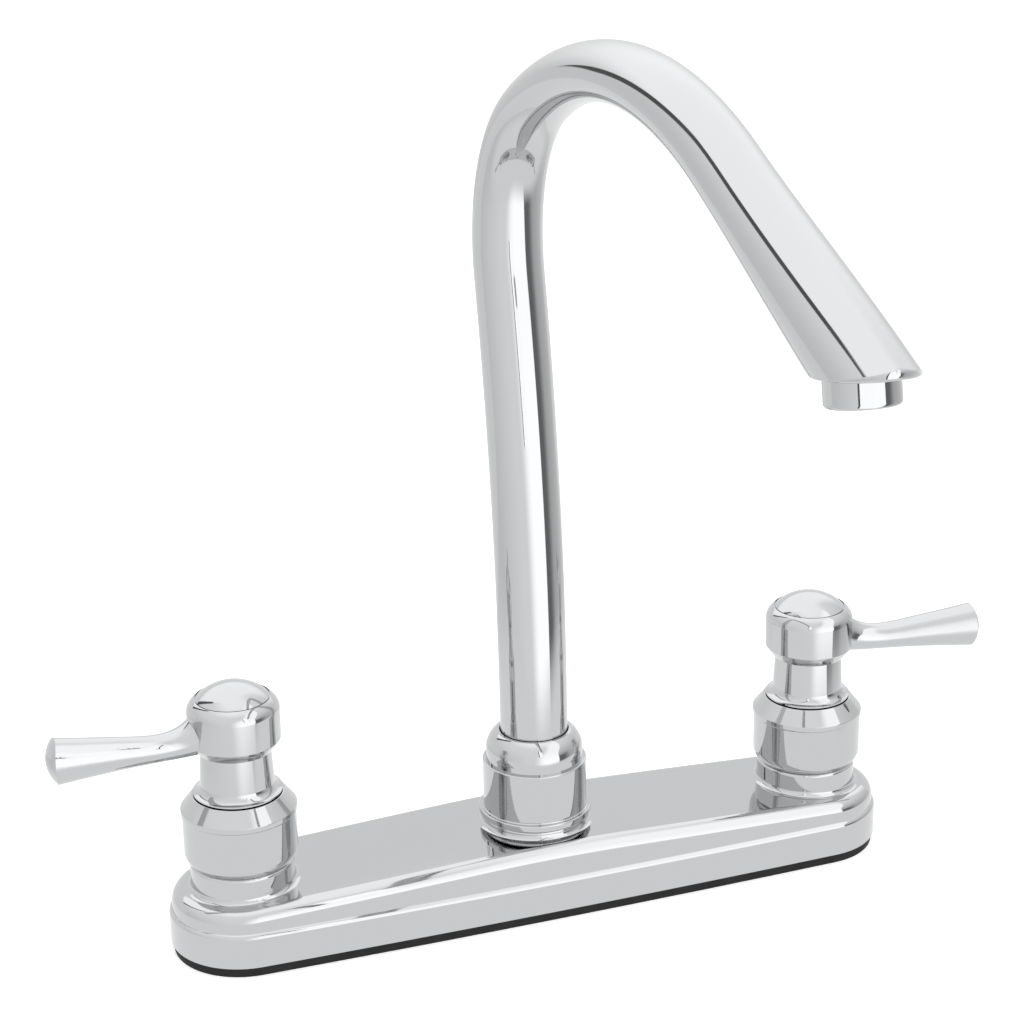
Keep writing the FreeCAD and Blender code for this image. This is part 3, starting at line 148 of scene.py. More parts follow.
def makeFinish(look):
    # slow patches change the colour or the gloss, and a finer grain gives the bump
    material = bpy.data.materials.new(look["name"])
    material.use_nodes = True
    tree = material.node_tree
    shader = tree.nodes["Principled BSDF"]
    for socket, value in look["shader"].items():
        shader.inputs[socket].default_value = value
    texture, output = look["pattern"]["texture"], look["pattern"]["output"]
    place = addNode(tree, "ShaderNodeTexCoord").outputs["Object"]
    patches = addNode(tree, texture, inputs={"Vector": place, "Scale": 1 / (look["patch"] * mm),
                                             "Detail": look["patchDetail"]})
    (low, high), (first, last) = look["pattern"]["range"], look["spread"]
    share = addNode(tree, "ShaderNodeMapRange", inputs={"Value": patches.outputs[output], "From Min": low,
                                                        "From Max": high, "To Min": first, "To Max": last})
    colours = [linearFromHex(colour) for colour in look["colours"]]
    if len(colours) == 1:
        shader.inputs["Base Color"].default_value = colours[0]
        tree.links.new(share.outputs["Result"], shader.inputs["Roughness"])
    else:
        mix = addNode(tree, "ShaderNodeMix", {"data_type": "RGBA"},
                      {"Factor": share.outputs["Result"], "A": colours[0], "B": colours[1]})
        tree.links.new(mix.outputs["Result"], shader.inputs["Base Color"])
    stretched = addNode(tree, "ShaderNodeMapping", inputs={"Vector": place, "Scale": look["stretch"]})
    grain = addNode(tree, texture, inputs={"Vector": stretched.outputs["Vector"],
                                           "Scale": 1 / (look["grain"] * mm), "Detail": look["grainDetail"]})
    bump = addNode(tree, "ShaderNodeBump", inputs={"Height": grain.outputs[output], "Strength": look["bump"],
                                                   "Distance": look["depth"] * mm})
    tree.links.new(bump.outputs["Normal"], shader.inputs["Normal"])
    return material


materials = {slot: makeFinish(look) for slot, look in finishes.items()}
for part in frame["record"]["subparts"]:
    mesh = frame["nodes"][part["node"]].data
    mesh.materials.clear()
    mesh.materials.append(materials[part["material_slot"]])
print("materials assigned")


# The spout's centre line, its oval section and its outlet, in millimetres and degrees. A flat value is how
# much thinner the section is there than it is wide, and slack keeps the skin inside the solid's size.
spoutShape = {"tubeFoot": 47.75, "riserFoot": 57.5, "riserTop": 210.3, "riserLean": 12.3, "bendRadius": 54.0,
              "bendAngle": 73.0, "sweepRadius": 150.0, "legSlope": 24.2, "legLength": 83.3,
              "footRadius": 11.35, "riserTopRadius": 11.55, "crownRadius": 11.25, "legTopRadius": 9.95,
              "outletRadius": 11.1, "riserTopFlat": 1.05, "crownFlat": 2.6, "legTopFlat": 1.0,
              "outletTilt": 11.0, "rounding": 1.6, "sideRounding": 0.4, "collarSetback": 2.2,
              "boreRadius": 8.45, "boreDepth": 5.3, "wall": 1.2, "slack": 0.07,
              "around": 96, "ringStep": 1.5, "rimSteps": 8, "buffRings": 9}

# How the rim is found: how far past the leg's end the search goes and how often it halves, and the small
# steps that give the skin's ways there, in millimetres and radians.
rimSearch = {"beyond": 45.0, "halvings": 40, "alongStep": 0.5, "roundStep": 0.01}
acrossSpout = Vector((1, 0, 0))
rearward = Vector((0, 1, 0))


def spoutStretches():
    # the stretches from the riser's foot on: (length, radius or None, half width and flatness at its end)
    shape = spoutShape
    lean = math.radians(shape["riserLean"])
    bend = math.radians(shape["bendAngle"])
    riserRadius = (shape["riserTop"] - shape["riserFoot"]) / math.sin(lean)
    sweep = math.radians(90 + shape["legSlope"] + shape["riserLean"]) - bend
    return [(riserRadius * lean, -riserRadius, shape["riserTopRadius"], shape["riserTopFlat"]),
            (shape["bendRadius"] * bend, shape["bendRadius"], shape["crownRadius"], shape["crownFlat"]),
            (shape["sweepRadius"] * sweep, shape["sweepRadius"], shape["legTopRadius"], shape["legTopFlat"]),
            (shape["legLength"], None, shape["outletRadius"], 0.0)]


def along(start, way, radius, distance):
    # where the centre line has come to after a distance, and its way there
    if radius is None:
        return start + way * distance, way
    side = Vector((0, -way.z, way.y))
    angle = distance / abs(radius)
    spot = start + side * radius * (1 - math.cos(angle)) + way * abs(radius) * math.sin(angle)
    return spot, way * math.cos(angle) + side * math.copysign(math.sin(angle), radius)


def spoutSection(distance):
    # centre, way, half width and flatness at a distance from the riser's foot; the leg runs straight on
    start, way = up * spoutShape["riserFoot"], up
    width, flat = spoutShape["footRadius"], 0.0
    stretches = spoutStretches()
    for index, (length, radius, endWidth, endFlat) in enumerate(stretches):
        if distance <= length or index == len(stretches) - 1:
            share = min(max(distance / length, 0.0), 1.0)
            eased = share * share * (3 - 2 * share)
            spot, heading = along(start, way, radius, distance)
            return spot, heading, width + (endWidth - width) * eased, flat + (endFlat - flat) * eased
        start, way = along(start, way, radius, length)
        width, flat, distance = endWidth, endFlat, distance - length


def onSpout(distance, angle):
    # the skin's point at a distance and an angle round the section
    spot, way, width, flat = spoutSection(distance)
    outer = Vector((0, way.z, -way.y))
    half = width - spoutShape["slack"]
    return spot + acrossSpout * half * math.cos(angle) + outer * (half - flat) * math.sin(angle)


def outletRim():
    # per angle: the rounded rim's points, and where on the skin it starts as (distance, angle)
    shape = spoutShape
    tilt = math.radians(shape["outletTilt"])
    down = Vector((0, -math.sin(tilt), -math.cos(tilt)))
    legStart = sum(stretch[0] for stretch in spoutStretches()[:-1])
    legFoot, legWay, _, _ = spoutSection(legStart)
    centre = legFoot + legWay * shape["legLength"]
    outer = Vector((0, legWay.z, -legWay.y))
    rims = []
    for step in range(shape["around"]):
        angle = 2 * math.pi * step / shape["around"]
        low, high = legStart, legStart + shape["legLength"] + rimSearch["beyond"]
        for _ in range(rimSearch["halvings"]):
            middle = (low + high) / 2
            if (onSpout(middle, angle) - centre).dot(down) < 0:
                low = middle
            else:
                high = middle
        corner = onSpout(low, angle)
        alongLine = (corner - onSpout(low - rimSearch["alongStep"], angle)).normalized()
        onward, back = (onSpout(low, angle + sign * rimSearch["roundStep"]) for sign in (1, -1))
        outward = (onward - back).normalized().cross(alongLine).normalized()
        frontShare = math.sin(angle) ** 2
        rounding = shape["sideRounding"] + (shape["rounding"] - shape["sideRounding"]) * frontShare
        heart = corner - (outward + down) * rounding / (1 + outward.dot(down))
        normals = [outward.slerp(down, index / shape["rimSteps"]) for index in range(shape["rimSteps"] + 1)]
        arc = [(heart + normal * rounding, normal) for normal in normals]
        reach = (arc[0][0] - legFoot).dot(legWay)
        _, _, width, flat = spoutSection(legStart + reach)
        off = arc[0][0] - legFoot - legWay * reach
        turned = math.atan2(off.dot(outer) / (width - flat), off.dot(acrossSpout) / width)
        nearest = angle + (turned - angle + math.pi) % (2 * math.pi) - math.pi
        rims.append((arc, legStart + reach, nearest))
    return rims, centre, down, legStart


def circleRing(centre, first, second, radius, count, inward=False):
    # a ring of (point, normal)
    ring = []
    for level in levelWays(count):
        way = first * level.x + second * level.y
        ring.append((centre + way * radius, -way if inward else way))
    return ring


def buffed(rings):
    # (point, normal) rings: the normals run on smoothly along the tube, as buffing leaves them
    count = len(rings[0])
    raw = []
    for row, ring in enumerate(rings):
        before, after = rings[max(row - 1, 0)], rings[min(row + 1, len(rings) - 1)]
        raw.append([(ring[(step + 1) % count] - ring[step - 1]).cross(after[step] - before[step]).normalized()
                    for step in range(count)])
    soft = []
    for row, ring in enumerate(rings):
        span = min(spoutShape["buffRings"], row, len(rings) - 1 - row)
        shifts = range(-span, span + 1)
        normals = [sum((raw[row + shift][step] * (span + 1 - abs(shift)) for shift in shifts),
                       Vector((0, 0, 0))).normalized() for step in range(count)]
        soft.append(list(zip(ring, normals)))
    return soft


def makeSpoutSkin():
    # one drawn tube, oval in its bends, with a rolled rim round the outlet's face
    shape = spoutShape
    count = shape["around"]
    rims, centre, down, legStart = outletRim()
    footRadius = shape["footRadius"] - shape["slack"]
    tube = []
    for level in (shape["tubeFoot"], (shape["tubeFoot"] + shape["riserFoot"]) / 2):
        ring = circleRing(up * level, acrossSpout, rearward, footRadius, count)
        tube.append([point for point, _ in ring])
    footRing = tube[0]
    bendRings = round(legStart / shape["ringStep"])
    for row in range(bendRings):
        distance = legStart * row / bendRings
        tube.append([onSpout(distance, 2 * math.pi * step / count) for step in range(count)])
    legRings = round(shape["legLength"] / shape["ringStep"])
    for row in range(legRings + 1):
        share = row / legRings
        ring = []
        for step, (_, reach, turned) in enumerate(rims):
            angle = 2 * math.pi * step / count
            ring.append(onSpout(legStart + (reach - legStart) * share, angle + (turned - angle) * share))
        tube.append(ring)
    skin = buffed(tube)
    for index in range(1, shape["rimSteps"] + 1):
        skin.append([arc[index] for arc, _, _ in rims])
    tilt = math.radians(shape["outletTilt"])
    setback = Vector((0, math.cos(tilt), -math.sin(tilt))) * shape["collarSetback"]
    mouth, across = centre + setback, down.cross(acrossSpout)
    bore = circleRing(mouth, acrossSpout, across, shape["boreRadius"], count, True)
    face = [(point, down) for point, _ in bore]
    roof = [(point - down * shape["boreDepth"], normal) for point, normal in bore]
    innerRadius = shape["footRadius"] - shape["wall"]
    inner = [circleRing(up * level, acrossSpout, rearward, innerRadius, count, True)
             for level in (shape["riserFoot"], shape["tubeFoot"])]
    footFace = [[(point, -up) for point, _ in inner[-1]], [(point, -up) for point in footRing]]
    strips = [skin + [face], [bore, roof], inner, footFace]
    piece = meshWithNormals("spoutSkin", strips, [], materials["chrome"])
    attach(piece, "spout")
    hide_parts("spout_tube")


makeSpoutSkin()
print("spout skin made")


# The deck plate's outline, arch and edges, in millimetres and degrees. Its top is cut in triangles, with a
# grid of points under the crown, and points nearer than mergeGap are one.
plateShape = {"spacing": 203.2, "endRadius": 24.6, "swell": 1.3, "foot": 3.4, "bandTop": 15.0,
              "bandStep": 1.1, "beadTurn": 60, "endHeight": 22.4, "crownRise": 4.1, "crownHalf": 26.0,
              "shoulder": 4.4, "wall": 2.6, "roof": 19.0, "rootFillet": 2.0, "bossEdge": 1.2,
              "endSteps": 48, "sideSteps": 72, "bossSteps": 96, "arcSteps": 10, "gridStep": 4.0,
              "gridRows": 4, "gridClear": 1.0, "mergeGap": 1e-4}

# The plate's three bosses, in millimetres.
plateBosses = {"left": {"x": -101.6, "radius": 16.9, "top": 31.0, "bore": 11.8},
               "middle": {"x": 0.0, "radius": 17.6, "top": 29.0, "bore": 14.6},
               "right": {"x": 101.6, "radius": 16.9, "top": 31.0, "bore": 11.8}}


def archTop(x):
    # height of the plate's top, and its unit normal there
    shape = plateShape
    slope = 2 * shape["crownRise"] / shape["spacing"]
    peak = shape["endHeight"] + shape["crownRise"]
    if abs(x) >= shape["crownHalf"]:
        return peak - slope * abs(x), Vector((math.copysign(slope, x), 0, 1)).normalized()
    radius = shape["crownHalf"] / slope
    heart = peak - slope * shape["crownHalf"] - math.sqrt(radius ** 2 - shape["crownHalf"] ** 2)
    rise = math.sqrt(radius ** 2 - x ** 2)
    return heart + rise, Vector((x, 0, rise)).normalized()


def plateOutline():
    # (point, outward way) round the plate's edge: two round ends and two gently swelling sides
    shape = plateShape
    reach = shape["spacing"] / 2
    middle = shape["endRadius"] + shape["swell"]
    side = (reach ** 2 + middle ** 2 - shape["endRadius"] ** 2) / (2 * shape["swell"])
    drop = side - middle
    lean = math.atan2(reach, drop)
    quarter = math.pi / 2
    arcs = [(reach, 0, shape["endRadius"], lean - quarter, quarter - lean, shape["endSteps"]),
            (0, -drop, side, quarter - lean, quarter + lean, shape["sideSteps"]),
            (-reach, 0, shape["endRadius"], quarter + lean, 3 * quarter - lean, shape["endSteps"]),
            (0, drop, side, 3 * quarter - lean, 3 * quarter + lean, shape["sideSteps"])]
    outline = []
    for x, y, radius, first, last, steps in arcs:
        for step in range(steps):
            angle = first + (last - first) * step / steps
            way = Vector((math.cos(angle), math.sin(angle), 0))
            outline.append((Vector((x, y, 0)) + way * radius, way))
    return outline


def arcTurns(angle):
    # the steps of one rounded edge of the plate, from 0 to an angle
    return [angle * step / plateShape["arcSteps"] for step in range(plateShape["arcSteps"] + 1)]


def plateWall(outline):
    # strips for the lower band with its rolled bead line, and for the wall above it with its shoulder
    shape = plateShape
    turns = arcTurns(math.radians(shape["beadTurn"]))
    beadRadius = shape["bandStep"] / (1 - math.cos(turns[-1]))
    beadLow = shape["bandTop"] - beadRadius * math.sin(turns[-1])
    band = [[(point + up * shape["foot"], way) for point, way in outline]]
    for turn in turns:
        inset = beadRadius * (1 - math.cos(turn))
        level = beadLow + beadRadius * math.sin(turn)
        band.append([(point - way * inset + up * level, way * math.cos(turn) + up * math.sin(turn))
                     for point, way in outline])
    wall = [[(point - way * shape["bandStep"] + up * shape["bandTop"], way) for point, way in outline]]
    flatInset = shape["bandStep"] + shape["shoulder"]
    for turn in arcTurns(math.pi / 2):
        ring = []
        for point, way in outline:
            top, topNormal = archTop((point - way * flatInset).x)
            place = point - way * (shape["bandStep"] + shape["shoulder"] * (1 - math.cos(turn)))
            level = top - shape["shoulder"] * (1 - math.sin(turn))
            ring.append((place + up * level, way * math.cos(turn) + topNormal * math.sin(turn)))
        wall.append(ring)
    return band, wall


def bossStrips(boss):
    # strips for a boss, with a fillet at its root and a rounded upper edge, and for its bore
    shape = plateShape
    ways = levelWays(shape["bossSteps"])
    middle = Vector((boss["x"], 0, 0))
    fillet, edge = shape["rootFillet"], shape["bossEdge"]
    root = boss["radius"] + fillet
    side = []
    for turn in arcTurns(math.pi / 2):
        ring = []
        for way in ways:
            low, lowNormal = archTop(boss["x"] + way.x * root)
            level = low + fillet * (1 - math.cos(turn))
            ring.append((middle + way * (root - fillet * math.sin(turn)) + up * level,
                         way * math.sin(turn) + lowNormal * math.cos(turn)))
        side.append(ring)
    for turn in arcTurns(math.pi / 2):
        radius = boss["radius"] - edge * (1 - math.cos(turn))
        level = boss["top"] - edge * (1 - math.sin(turn))
        side.append([(middle + way * radius + up * level, way * math.cos(turn) + up * math.sin(turn))
                     for way in ways])
    side.append([(middle + way * boss["bore"] + up * boss["top"], up) for way in ways])
    bore = [[(middle + way * boss["bore"] + up * level, -way) for way in ways]
            for level in (boss["top"], shape["roof"])]
    return [side, bore]


def sheetWithHoles(edge, holes, grid, level):
    # a level or arched sheet inside a convex edge, with round holes of (x, radius) cut out
    flat = [point.xy for point in edge]
    ways = levelWays(plateShape["bossSteps"])
    for x, radius in holes:
        flat.extend(Vector((x + radius * way.x, radius * way.y)) for way in ways)
    flat.extend(grid)
    spots, _, triangles, _, _, _ = delaunay_2d_cdt(flat, [], [], 0, plateShape["mergeGap"])
    kept = []
    for triangle in triangles:
        heart = sum((spots[corner] for corner in triangle), Vector((0, 0))) / 3
        if all((heart - Vector((x, 0))).length > radius for x, radius in holes):
            kept.append(triangle)
    return [(Vector((spot.x, spot.y, level(spot.x)[0])), level(spot.x)[1]) for spot in spots], kept


def makePlateSkin():
    # the cast and buffed plate: lower band, bead line, wall, shoulder, arched top and three flared bosses
    shape = plateShape
    bosses = plateBosses.values()
    outline = plateOutline()
    band, wall = plateWall(outline)
    strips = [band, wall]
    for boss in bosses:
        strips.extend(bossStrips(boss))
    hollow = shape["bandStep"] + shape["wall"]
    strips.append([[(point - way * hollow + up * level, -way) for point, way in outline]
                   for level in (shape["roof"], shape["foot"])])
    strips.append([[(point - way * inset + up * shape["foot"], -up) for point, way in outline]
                   for inset in (hollow, 0)])
    spacing, rows = shape["gridStep"], shape["gridRows"]
    columns = int(shape["crownHalf"] / spacing) + 1
    clear = plateBosses["middle"]["radius"] + shape["rootFillet"] + shape["gridClear"]
    grid = [Vector((column * spacing, row * spacing)) for column in range(-columns, columns + 1)
            for row in range(-rows, rows + 1) if math.hypot(column, row) * spacing > clear]
    roots = [(boss["x"], boss["radius"] + shape["rootFillet"]) for boss in bosses]
    top = sheetWithHoles([point for point, _ in wall[-1]], roots, grid, archTop)
    bores = [(boss["x"], boss["bore"]) for boss in bosses]
    roofEdge = [point - way * hollow for point, way in outline]
    roof = sheetWithHoles(roofEdge, bores, [], lambda x: (shape["roof"], -up))
    piece = meshWithNormals("plateSkin", strips, [top, roof], materials["chrome"])
    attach(piece, "base")
    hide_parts("base_plate")


makePlateSkin()
print("plate skin made")


# Ways in a turned piece's outline, whose points are (radius, height).
outlineOut, outlineIn = Vector((1, 0)), Vector((-1, 0))
outlineUp, outlineDown = Vector((0, 1)), Vector((0, -1))


def straightRun(first, last, normal):
    # a straight stretch of a turned outline
    return [(Vector(first), normal), (Vector(last), normal)]


def roundedRun(corners, edge, steps):
    # an outline's corners as (point, normal), each inner corner rounded; the solid lies left of the run
    run = []
    for index, corner in enumerate(corners):
        if index in (0, len(corners) - 1):
            way = (corners[1] - corner) if index == 0 else (corner - corners[index - 1])
            run.append((corner, Vector((way.y, -way.x)).normalized()))
            continue
        back, onward = (corners[index - 1] - corner), (corners[index + 1] - corner)
        turn = math.pi - back.angle(onward)
        start = corner + back.normalized() * edge * math.tan(turn / 2)
        first = Vector((-back.y, back.x)).normalized()
        last = Vector((onward.y, -onward.x)).normalized()
        sign = 1 if first.x * last.y - first.y * last.x > 0 else -1
        heart = start - first * edge * sign
        for step in range(steps + 1):
            angle = sign * turn * step / steps
            normal = Vector((first.x * math.cos(angle) - first.y * math.sin(angle),
                             first.x * math.sin(angle) + first.y * math.cos(angle)))
            run.append((heart + normal * edge * sign, normal))
    return run


def turnedSkin(name, x, runs, around):
    # a chromed piece turned about an upright axis at x, from the runs of its outline
    ways = levelWays(around)
    strips = [[[(Vector((x, 0, point.y)) + way * point.x, way * normal.x + up * normal.y) for way in ways]
               for point, normal in run] for run in runs]
    return meshWithNormals(name, strips, [], materials["chrome"])


# The bonnet's turned outline in millimetres; its foot is rolled under on the boss.
bonnetShape = {"foot": 31.0, "footRadius": 15.6, "rollTop": 35.0, "radius": 18.45, "bodyTop": 47.8,
               "lip": 18.8, "lipLow": 48.2, "lipTop": 49.8, "mouth": 14.9, "top": 54.6, "opening": 7.0,
               "hollow": 14.7, "topWall": 3.0, "edge": 0.3, "rollSteps": 14, "edgeSteps": 5, "around": 112}


def makeBonnetSkin(side):
    # a turned brass bell, plated, with a rolled foot, a thin lip and a sloping top
    shape = bonnetShape
    foot, footRadius, top = shape["foot"], shape["footRadius"], shape["top"]
    opening, hollow, ceiling = shape["opening"], shape["hollow"], shape["top"] - shape["topWall"]
    wide, tall = shape["radius"] - footRadius, shape["rollTop"] - foot
    roll = []
    for step in range(shape["rollSteps"] + 1):
        turn = math.pi / 2 * (1 - step / shape["rollSteps"])
        place = Vector((footRadius + wide * math.cos(turn), shape["rollTop"] - tall * math.sin(turn)))
        roll.append((place, Vector((math.cos(turn) * tall, -math.sin(turn) * wide)).normalized()))
    corners = [Vector((shape[radius], shape[level])) for radius, level in (
        ("radius", "rollTop"), ("radius", "bodyTop"), ("lip", "lipLow"), ("lip", "lipTop"), ("mouth", "top"),
        ("opening", "top"))]
    runs = [roll + roundedRun(corners, shape["edge"], shape["edgeSteps"])[1:],
            straightRun((opening, top), (opening, ceiling), outlineIn),
            straightRun((opening, ceiling), (hollow, ceiling), outlineDown),
            straightRun((hollow, ceiling), (hollow, foot), outlineIn),
            straightRun((hollow, foot), (footRadius, foot), outlineDown)]
    piece = turnedSkin(f"{side}BonnetSkin", plateBosses[side]["x"], runs, shape["around"])
    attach(piece, "base")
    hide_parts(f"{side}_bonnet")


for side in ("left", "right"):
    makeBonnetSkin(side)
print("bonnet skins made")


# The knob's rounded shoulder and the domed cap in it, in millimetres and degrees, about the handle's axis.
# The cap's rings end just short of the axis, with apexGap of the way left.
knobShape = {"radius": 14.86, "shoulderLow": 83.2, "shoulderWide": 9.22, "shoulderTall": 6.08,
             "shoulderTurn": 45, "sleeve": 0.8, "groove": 0.4, "grooveDepth": 0.9, "capRise": 4.8,
             "apexGap": 0.002, "steps": 16, "around": 112}


def makeKnobTop(side):
    # the cast knob's shoulder runs up to a fine groove, and a pressed cap carries its curve on to the top
    shape = knobShape
    x, steps, around = plateBosses[side]["x"], shape["steps"], shape["around"]
    wide, tall = shape["shoulderWide"], shape["shoulderTall"]
    shoulder = [(Vector((shape["radius"], shape["shoulderLow"] - shape["sleeve"])), outlineOut)]
    for step in range(steps + 1):
        turn = math.radians(shape["shoulderTurn"]) * step / steps
        place = Vector((shape["radius"] - wide * (1 - math.cos(turn)),
                        shape["shoulderLow"] + tall * math.sin(turn)))
        shoulder.append((place, Vector((tall * math.cos(turn), wide * math.sin(turn)))))
    rim = shoulder[-1][0]
    edge = Vector((rim.x - shape["groove"], rim.y))
    grooveOuter, grooveInner = (Vector((point.x, rim.y - shape["grooveDepth"])) for point in (rim, edge))
    runs = [shoulder, straightRun(rim, grooveOuter, outlineIn),
            straightRun(grooveOuter, grooveInner, outlineUp)]
    shoulderPiece = turnedSkin(f"{side}KnobShoulder", x, runs, around)
    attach(shoulderPiece, f"{side}_lever")
    radius = (edge.x ** 2 + shape["capRise"] ** 2) / (2 * shape["capRise"])
    heart = Vector((0, edge.y + shape["capRise"] - radius))
    dome = []
    for step in range(steps + 1):
        turn = math.asin(edge.x / radius) * (1 - step / steps * (1 - shape["apexGap"]))
        normal = Vector((math.sin(turn), math.cos(turn)))
        dome.append((heart + normal * radius, normal))
    capPiece = turnedSkin(f"{side}CapSkin", x, [straightRun(grooveInner, edge, outlineOut), dome], around)
    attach(capPiece, f"{side}_lever")
    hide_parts(f"{side}_handle_cap")


for side in ("left", "right"):
    makeKnobTop(side)
print("knob tops made")


# The sheets round the object: sizes in millimetres. The bounce is the lit deck near the faucet; it fades out
# round a line as long as bounceLine each way from the middle.
studio = {"floorSize": 9000, "floorLevel": -0.05, "floorColour": "#f4f4f4", "floorRoughness": 0.9,
          "floorGlow": 0.35, "bounceLevel": -0.04, "bounceHalfX": 560, "bounceHalfY": 460, "bounceLine": 100,
          "bounceReach": 185, "bounceSoft": 80, "bounceTone": 1.06}

# How far a point of the bounce is from its line: each row names a value, the operation and its terms.
bounceSums = [("side", "ABSOLUTE", "X"), ("past", "SUBTRACT", "side", studio["bounceLine"] * mm),
              ("beyond", "MAXIMUM", "past", 0.0), ("depthSquare", "MULTIPLY", "Y", "Y"),
              ("square", "MULTIPLY_ADD", "beyond", "beyond", "depthSquare"), ("apart", "SQRT", "square")]

# Cards close enough to shift with the place they are seen from: corner to corner in millimetres, and tone.
nearCards = {"backBoard": {"from": (-700, 250, 0), "to": (700, 250, 185), "tone": 0.98},
             "keyNear": {"from": (-38, -275, 150), "to": (0, -275, 330), "tone": 1.75},
             "keyEdge": {"from": (-46, -275, 150), "to": (-38, -275, 330), "tone": 0.12}}


def workOut(tree, ways, sums):
    # add to ways what each row of sums gives, from values named before it and from numbers
    for name, operation, *terms in sums:
        inputs = {index: ways.get(term, term) for index, term in enumerate(terms)}
        ways[name] = addNode(tree, "ShaderNodeMath", {"operation": operation}, inputs).outputs[0]


def splitAxes(tree, coordinate):
    # the three axes of a texture coordinate, by name
    place = addNode(tree, "ShaderNodeTexCoord").outputs[coordinate]
    split = addNode(tree, "ShaderNodeSeparateXYZ", inputs={"Vector": place})
    return {axis: split.outputs[axis] for axis in "XYZ"}


def stageSheet(name, corners, material):
    # one flat sheet of the studio, with its corners in millimetres
    mesh = bpy.data.meshes.new(name)
    mesh.from_pydata([tuple(Vector(corner) * mm) for corner in corners], [], [(0, 1, 2, 3)])
    mesh.materials.append(material)
    sheet = bpy.data.objects.new(name, mesh)
    bpy.context.scene.collection.objects.link(sheet)
    return sheet


def stageLight(name, corners, material):
    # a sheet that only reflections see
    sheet = stageSheet(name, corners, material)
    sheet.visible_camera = False
    sheet.visible_diffuse = False
    sheet.visible_shadow = False


def levelCorners(halfX, halfY, level):
    # the corners of a level sheet round the middle
    return [(-halfX, -halfY, level), (halfX, -halfY, level), (halfX, halfY, level), (-halfX, halfY, level)]


def startLight(name):
    # a material with no nodes yet, and its tree
    material = bpy.data.materials.new(name)
    material.use_nodes = True
    material.node_tree.nodes.clear()
    return material, material.node_tree


def makeFloor():
    # a pale sweep that stands for the deck; the chrome sees the tent's low part in its place
    material = bpy.data.materials.new("PalePaperSweep")
    material.use_nodes = True
    shader = material.node_tree.nodes["Principled BSDF"]
    looks = {"Base Color": linearFromHex(studio["floorColour"]), "Roughness": studio["floorRoughness"],
             "Emission Color": linearFromHex("#ffffff"), "Emission Strength": studio["floorGlow"]}
    for socket, value in looks.items():
        shader.inputs[socket].default_value = value
    half = studio["floorSize"] / 2
    floor = stageSheet("studioFloor", levelCorners(half, half, studio["floorLevel"]), material)
    floor.visible_glossy = False


def makeBounce():
    # the lit deck close round the faucet, seen only in its reflections
    material, tree = startLight("LitDeckBounce")
    ways = splitAxes(tree, "Object")
    workOut(tree, ways, bounceSums)
    inner = (studio["bounceReach"] - studio["bounceSoft"]) * mm
    outer = (studio["bounceReach"] + studio["bounceSoft"]) * mm
    fade = addNode(tree, "ShaderNodeMapRange", {"interpolation_type": "SMOOTHSTEP"},
                   {"Value": ways["apart"], "From Min": inner, "From Max": outer})
    glow = addNode(tree, "ShaderNodeEmission", inputs={"Strength": studio["bounceTone"]})
    clear = addNode(tree, "ShaderNodeBsdfTransparent")
    mix = addNode(tree, "ShaderNodeMixShader", inputs={0: fade.outputs["Result"], 1: glow.outputs[0],
                                                       2: clear.outputs[0]})
    addNode(tree, "ShaderNodeOutputMaterial", inputs={"Surface": mix.outputs[0]})
    corners = levelCorners(studio["bounceHalfX"], studio["bounceHalfY"], studio["bounceLevel"])
    stageLight("deckBounce", corners, material)


def makeNearCard(name, card):
    # an upright card in its own light
    material, tree = startLight(f"{name}Light")
    glow = addNode(tree, "ShaderNodeEmission", inputs={"Strength": card["tone"]})
    addNode(tree, "ShaderNodeOutputMaterial", inputs={"Surface": glow.outputs[0]})
    low, high = Vector(card["from"]), Vector(card["to"])
    stageLight(name, [low, (high.x, high.y, low.z), high, (low.x, low.y, high.z)], material)


# The light tent, by direction in degrees: azimuth 0 in front and plus to the right, elevation 0 level. The
# key card and the flag lean over between two elevations, and the slot behind leans from its foot on.
tent = {"leanFrom": 12, "leanTo": 72, "lean": 45, "slotAzimuth": 202, "slotFoot": 3.0, "slotLean": 0.633}

# How directions are measured, as in bounceSums; cardSums use the lean that makeTent finds before them.
directionSums = [("front", "MULTIPLY", "Y", -1.0), ("turn", "ARCTAN2", "X", "front"),
                 ("azimuth", "DEGREES", "turn"), ("rise", "ARCSINE", "Z"), ("elevation", "DEGREES", "rise")]
cardSums = [("leaned", "SUBTRACT", "azimuth", "lean"), ("around", "FLOORED_MODULO", "azimuth", 360.0),
            ("aboveFoot", "SUBTRACT", "elevation", tent["slotFoot"]),
            ("slotLean", "MULTIPLY", "aboveFoot", tent["slotLean"]),
            ("fromFoot", "SUBTRACT", "around", tent["slotAzimuth"]),
            ("fromSlot", "SUBTRACT", "fromFoot", "slotLean")]

